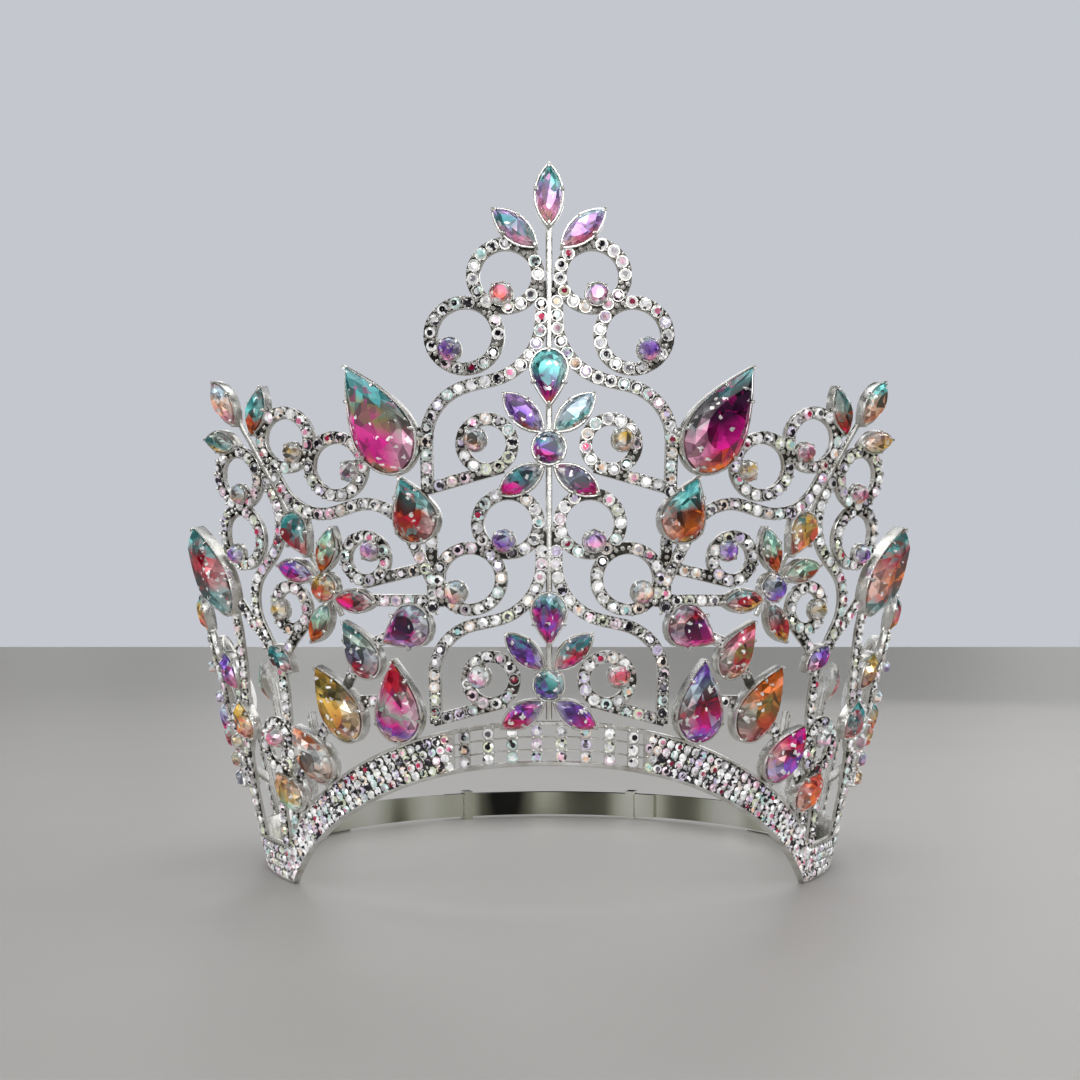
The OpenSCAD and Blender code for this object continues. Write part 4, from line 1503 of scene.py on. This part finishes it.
def covers(stone, place, spare=0.0):
    """Whether the stone's cup hides this place on the wall, or leaves it only a little room."""
    if stone not in COVERS:
        COVERS[stone] = wall_matrix(stone.azimuth, stone.height, 0, stone.turn).inverted()
    at = COVERS[stone] @ place
    margin = (SMALL_MARGIN if stone.length < 6 else LARGE_MARGIN) - spare
    half_w, half_l = stone.width / 2 + margin, stone.length / 2 + margin * 0.8
    return (at.x / half_w) ** 2 + (at.y / half_l) ** 2 < 1 and abs(at.z) < 6


def clear_seats(seats, stones):
    """Leaves out seats that are too near to another seat or lie under a large stone."""
    kept, taken = [], []
    for seat in seats:
        place = on_wall(seat.azimuth, seat.height)
        if any((place - other).length < STONE_SPACING * MM for other in taken):
            continue
        if any(covers(stone, place) for stone in stones):
            continue
        taken.append(place)
        kept.append(seat)
    return kept


def beside(seat, across, along=0.0):
    """A seat moved across its strand, and along it."""
    x = along * cos(seat.heading) - across * sin(seat.heading)
    y = along * sin(seat.heading) + across * cos(seat.heading)
    azimuth, height = moved(seat, x, y)
    return seat._replace(azimuth=azimuth, height=height)


def bare_spots(seats, kept, stones):
    """Places on the plates that are left bare, because one more stone has no room there."""
    taken = [on_wall(seat.azimuth, seat.height) for seat in kept]
    spots = []
    sides = (beside(s, across) for s in seats[::2] for across in (PLATE_SIDE, -PLATE_SIDE))
    for seat in [*seats, *sides]:
        place = on_wall(seat.azimuth, seat.height)
        if any((place - other).length < BARE_GAP * MM for other in taken):
            continue
        if any((place - on_wall(*s[:2])).length < BEAD_GAP * MM for s in spots):
            continue
        if not any(covers(stone, place, BEAD_SPARE) for stone in stones):
            spots.append(seat)
    return spots


print("stones on a strand stand at least", STONE_SPACING, "mm apart")

# %% [markdown]
# ## The rows on the strands
#
# The centre's rows are set first, then the right side's, and the left side takes the same seats
# mirrored, with other random draws, so that it isn't an exact copy.

# %% Rows on the strands
BEAD_RADIUS, BEAD_ACROSS, FILLING_SIZE = 0.48, 0.95, 1.4
# How deep a stone and its cup sink below the strand's full thickness
STONE_SINK, CUP_SINK = 0.08, 0.06


def mirrored_seats(seats):
    return [Seat(-s.azimuth, s.height, s.out, 180 - s.heading) for s in seats]


def set_rows(name, seats, stones, seed):
    rng = random.Random(seed)
    kept = clear_seats(seats, stones)
    places = [tipped(s.azimuth, s.height, s.out - STONE_SINK, rng) for s in kept]
    set_small_stones(name + "_stones", SMALL_STONE, places, rng)
    set_metal(name + "_cups", small_cup_shape(SMALL_STONE),
              [wall_matrix(s.azimuth, s.height, s.out - CUP_SINK) for s in kept])
    beads = [wall_matrix(*beside(s, across, ROW_PITCH / 2)[:3])
             for s in kept for across in (BEAD_ACROSS, -BEAD_ACROSS)]
    beads += [wall_matrix(*s[:3]) @ Matrix.Scale(FILLING_SIZE, 4)
              for s in bare_spots(seats, kept, stones)]
    set_metal(name + "_beads", bead_shape(BEAD_RADIUS), beads)
    print(name, len(kept), "small stones")


centre_hidden = CENTRE_STONES + CENTRE_LOOP_STONES
right_hidden = RIGHT_STONES + SIDE_LOOP_STONES
set_rows("centre_rows", centre_seats, centre_hidden, 21)
set_rows("right_rows", side_seats, right_hidden, 22)
set_rows("left_rows", mirrored_seats(side_seats), [mirrored(s) for s in right_hidden], 23)

# %% [markdown]
# ## The rows on the band
#
# The band's four rows are staggered, so that each stone sits between two of the next row, with
# a bead of metal in every gap and along the lower edge. The ladder's posts carry three stones
# each, one above the other, which are as large as those of the strands.

# %% Band rows
BAND_ROWS = (2.0, 4.17, 6.33, 8.5)
BAND_PITCH = 2.2
BAND_STONE, BAND_BEAD_RADIUS = 2.16, 0.38
# How far out they stand: band stones, the beads above them, the lower edge's, the posts' stones
STONE_OUT, BEAD_OUT, EDGE_BEAD_OUT, POST_STONE_OUT = 1.32, 1.4, 1.6, 1.9
# One millimetre along the front of the band, in degrees
FRONT_MM = degrees_per_mm(0, 40)


def band_seats():
    """Stones of the band's four rows, and the beads above them and along the lower edge."""
    seats, beads = [], []
    for side in (1, -1):
        for row, above in enumerate(BAND_ROWS):
            azimuth = LADDER_END + 0.7 + (row % 2) * BAND_PITCH / 2 * FRONT_MM
            if row % 2:
                beads.append((side * (LADDER_END + 0.45), arch(LADDER_END) + above, BEAD_OUT))
            while azimuth < BAND_END - 0.8:
                height = arch(azimuth) + above
                per_mm = degrees_per_mm(azimuth, height)
                slope = (arch(azimuth + 0.5) - arch(azimuth - 0.5)) * per_mm
                step = BAND_PITCH * per_mm / math.hypot(1, slope)
                seats.append(Seat(side * azimuth, height, STONE_OUT, 0.0))
                between = azimuth + step / 2
                beads.append((side * between, arch(between) + above + 1.08, BEAD_OUT))
                if row == 0:
                    beads.append((side * between, arch(between) + above - 1.15, EDGE_BEAD_OUT))
                azimuth += step
    return seats, beads


def ladder_seats():
    """Stones on the ladder's posts, and the beads beside them."""
    seats, beads = [], []
    for middle in POST_MIDDLES:
        for k in range(3):
            above = BAND_HEIGHT / 2 + (k - 1) * ROW_PITCH
            seats.append(Seat(middle, arch(middle) + above, POST_STONE_OUT, 0.0))
            for across in (-BEAD_ACROSS, BEAD_ACROSS):
                azimuth = middle + across * FRONT_MM
                height = arch(azimuth) + above + ROW_PITCH / 2
                beads.append(wall_matrix(azimuth, height, RAIL_DEPTH))
    return seats, beads


seats, beads = band_seats()
rng = random.Random(31)
places = [tipped(s.azimuth, s.height, s.out, rng) for s in seats]
set_small_stones("band_stones", BAND_STONE, places, rng)
set_metal("band_beads", bead_shape(BAND_BEAD_RADIUS), [wall_matrix(*b) for b in beads])
seats, beads = ladder_seats()
set_small_stones("ladder_stones", SMALL_STONE, [tipped(*s[:3], rng) for s in seats], rng)
set_metal("ladder_cups", small_cup_shape(SMALL_STONE), [wall_matrix(*s[:3]) for s in seats])
set_metal("ladder_beads", bead_shape(BEAD_RADIUS), beads)

# %% [markdown]
# ## The strap
#
# The CAD strap and its keepers have the right shape already, so they stay, and only take the
# polished finish. A CAD node's mesh is never changed; its material slots may be.

# %% Strap
for name in ("back_strap_right", "back_strap_left", "strap_keeper_right", "strap_keeper_left"):
    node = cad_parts[name]
    for slot in node.material_slots:
        slot.material = POLISHED_SHEET
    print(name, [tuple(round(v, 3) for v in corner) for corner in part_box(name)])

# %% [markdown]
# ## Floor, light and camera
#
# The floor is plain and pale, and the backdrop is the sky colour of the world. Cut stones and
# polished metal only look alive if they have something dark and something bright to reflect,
# so the world that reflections see is a room with bright panels and darker walls, while the
# camera sees an even pale grey. Large soft lights shape the crown, small ones make it glitter.

# %% Floor


def floor_finish():
    f = Finish("pale_floor")
    cloud = f.noise(9.0, 4.0)
    colour = f.mix(cloud, rgba(srgb(186, 184, 180)), rgba(srgb(198, 196, 193)))
    return f.finished(Base_Color=colour, Roughness=0.45 + cloud * 0.1)


floor_shape = bmesh.new()
bmesh.ops.create_grid(floor_shape, x_segments=1, y_segments=1, size=40.0)
floor_mesh = bpy.data.meshes.new("floor")
floor_shape.to_mesh(floor_mesh)
floor_shape.free()
floor = placed("floor", floor_mesh)
floor_mesh.materials.append(floor_finish())
floor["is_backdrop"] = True
print("floor:", tuple(floor.dimensions))

# %% [markdown]
# The world sends camera rays to a plain colour, and all the other rays to a soft noise of dark
# and bright patches, which stands for the room.

# %% World


def studio_world():
    world = bpy.data.worlds.new("studio")
    world.use_nodes = True
    bpy.context.scene.world = world
    tree = world.node_tree
    tree.nodes.clear()

    def node(kind, **settings):
        made = tree.nodes.new(kind)
        for key, value in settings.items():
            setattr(made, key, value)
        return made

    place = node("ShaderNodeTexCoord")
    panels = node("ShaderNodeTexNoise")
    panels.inputs["Scale"].default_value = 4.0
    panels.inputs["Detail"].default_value = 1.0
    ramp = node("ShaderNodeValToRGB")
    set_stops(ramp, [(0.42, (0.02, 0.02, 0.024)), (0.48, (0.32, 0.33, 0.35)),
                     (0.54, (1.0, 1.02, 1.05)), (0.62, (3.2, 3.2, 3.2))])
    room, backdrop = node("ShaderNodeBackground"), node("ShaderNodeBackground")
    backdrop.inputs["Color"].default_value = rgba(srgb(196, 199, 206))
    ray, mix, out = (node("ShaderNodeLightPath"), node("ShaderNodeMixShader"),
                     node("ShaderNodeOutputWorld"))
    room.inputs["Strength"].default_value = 0.5
    for start, end in (
        (place.outputs["Generated"], panels.inputs["Vector"]),
        (panels.outputs[0], ramp.inputs[0]),
        (ramp.outputs[0], room.inputs["Color"]),
        (ray.outputs["Is Camera Ray"], mix.inputs[0]),
        (room.outputs[0], mix.inputs[1]),
        (backdrop.outputs[0], mix.inputs[2]),
        (mix.outputs[0], out.inputs[0]),
    ):
        tree.links.new(start, end)


studio_world()
print("world:", bpy.context.scene.world.name)

# %% [markdown]
# The lamps are round and aim at the middle of the crown. The three smallest make sharp glints.

# %% Lights
AIM = Vector((0, -0.03, 0.09))


def soft_light(name, place, size, power):
    light = bpy.data.lights.new(name, "AREA")
    light.shape, light.size, light.energy = "DISK", size, power
    lamp = placed(name, light)
    lamp.location = place
    lamp.rotation_euler = (AIM - Vector(place)).to_track_quat("-Z", "Y").to_euler()


soft_light("overhead", (0.1, -0.1, 0.95), 0.7, 1.6)
soft_light("left_panel", (-0.8, -0.7, 0.5), 0.5, 1.2)
soft_light("right_panel", (0.8, -0.5, 0.4), 0.45, 0.8)
soft_light("front_fill", (0.05, -0.95, 0.3), 0.35, 0.7)
soft_light("back_panel", (0.3, 0.9, 0.5), 0.6, 0.8)
for number, place in enumerate([(-0.25, -0.8, 0.65), (0.35, -0.85, 0.5), (0.0, -0.6, 0.9)]):
    soft_light(f"glitter_{number}", place, 0.03, 0.25)
print("lights:", len(bpy.data.lights))

# %% [markdown]
# The camera stands at the photograph's viewing angle. It looks straight ahead, so upright lines
# stay upright, and the frame is shifted a little to bring the crown to its place in the picture.

# %% Camera
FOCAL_PIXELS, PICTURE = 1240, 1080
CENTRE_COLUMN, HORIZON_ROW = 549, 645
CAMERA_PLACE = (0, -0.370, 0.062)

lens = bpy.data.cameras.new("camera")
lens.sensor_width = 36
lens.lens = FOCAL_PIXELS / PICTURE * lens.sensor_width
lens.shift_x = (PICTURE / 2 - CENTRE_COLUMN) / PICTURE
lens.shift_y = (HORIZON_ROW - PICTURE / 2) / PICTURE
lens.clip_start = 0.01
camera = placed("camera", lens)
camera.location = CAMERA_PLACE
camera.rotation_euler = (math.pi / 2, 0, 0)
bpy.context.scene.camera = camera
bpy.context.scene.view_settings.view_transform = "Standard"
print("lens:", round(lens.lens, 2), "mm, at", tuple(camera.location))

# %% Write the sizes and finish
corners = [[round(v, 5) for v in corner] for box in (CAD_BOX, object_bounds()) for corner in box]
print("CAD box and visual box:", corners)
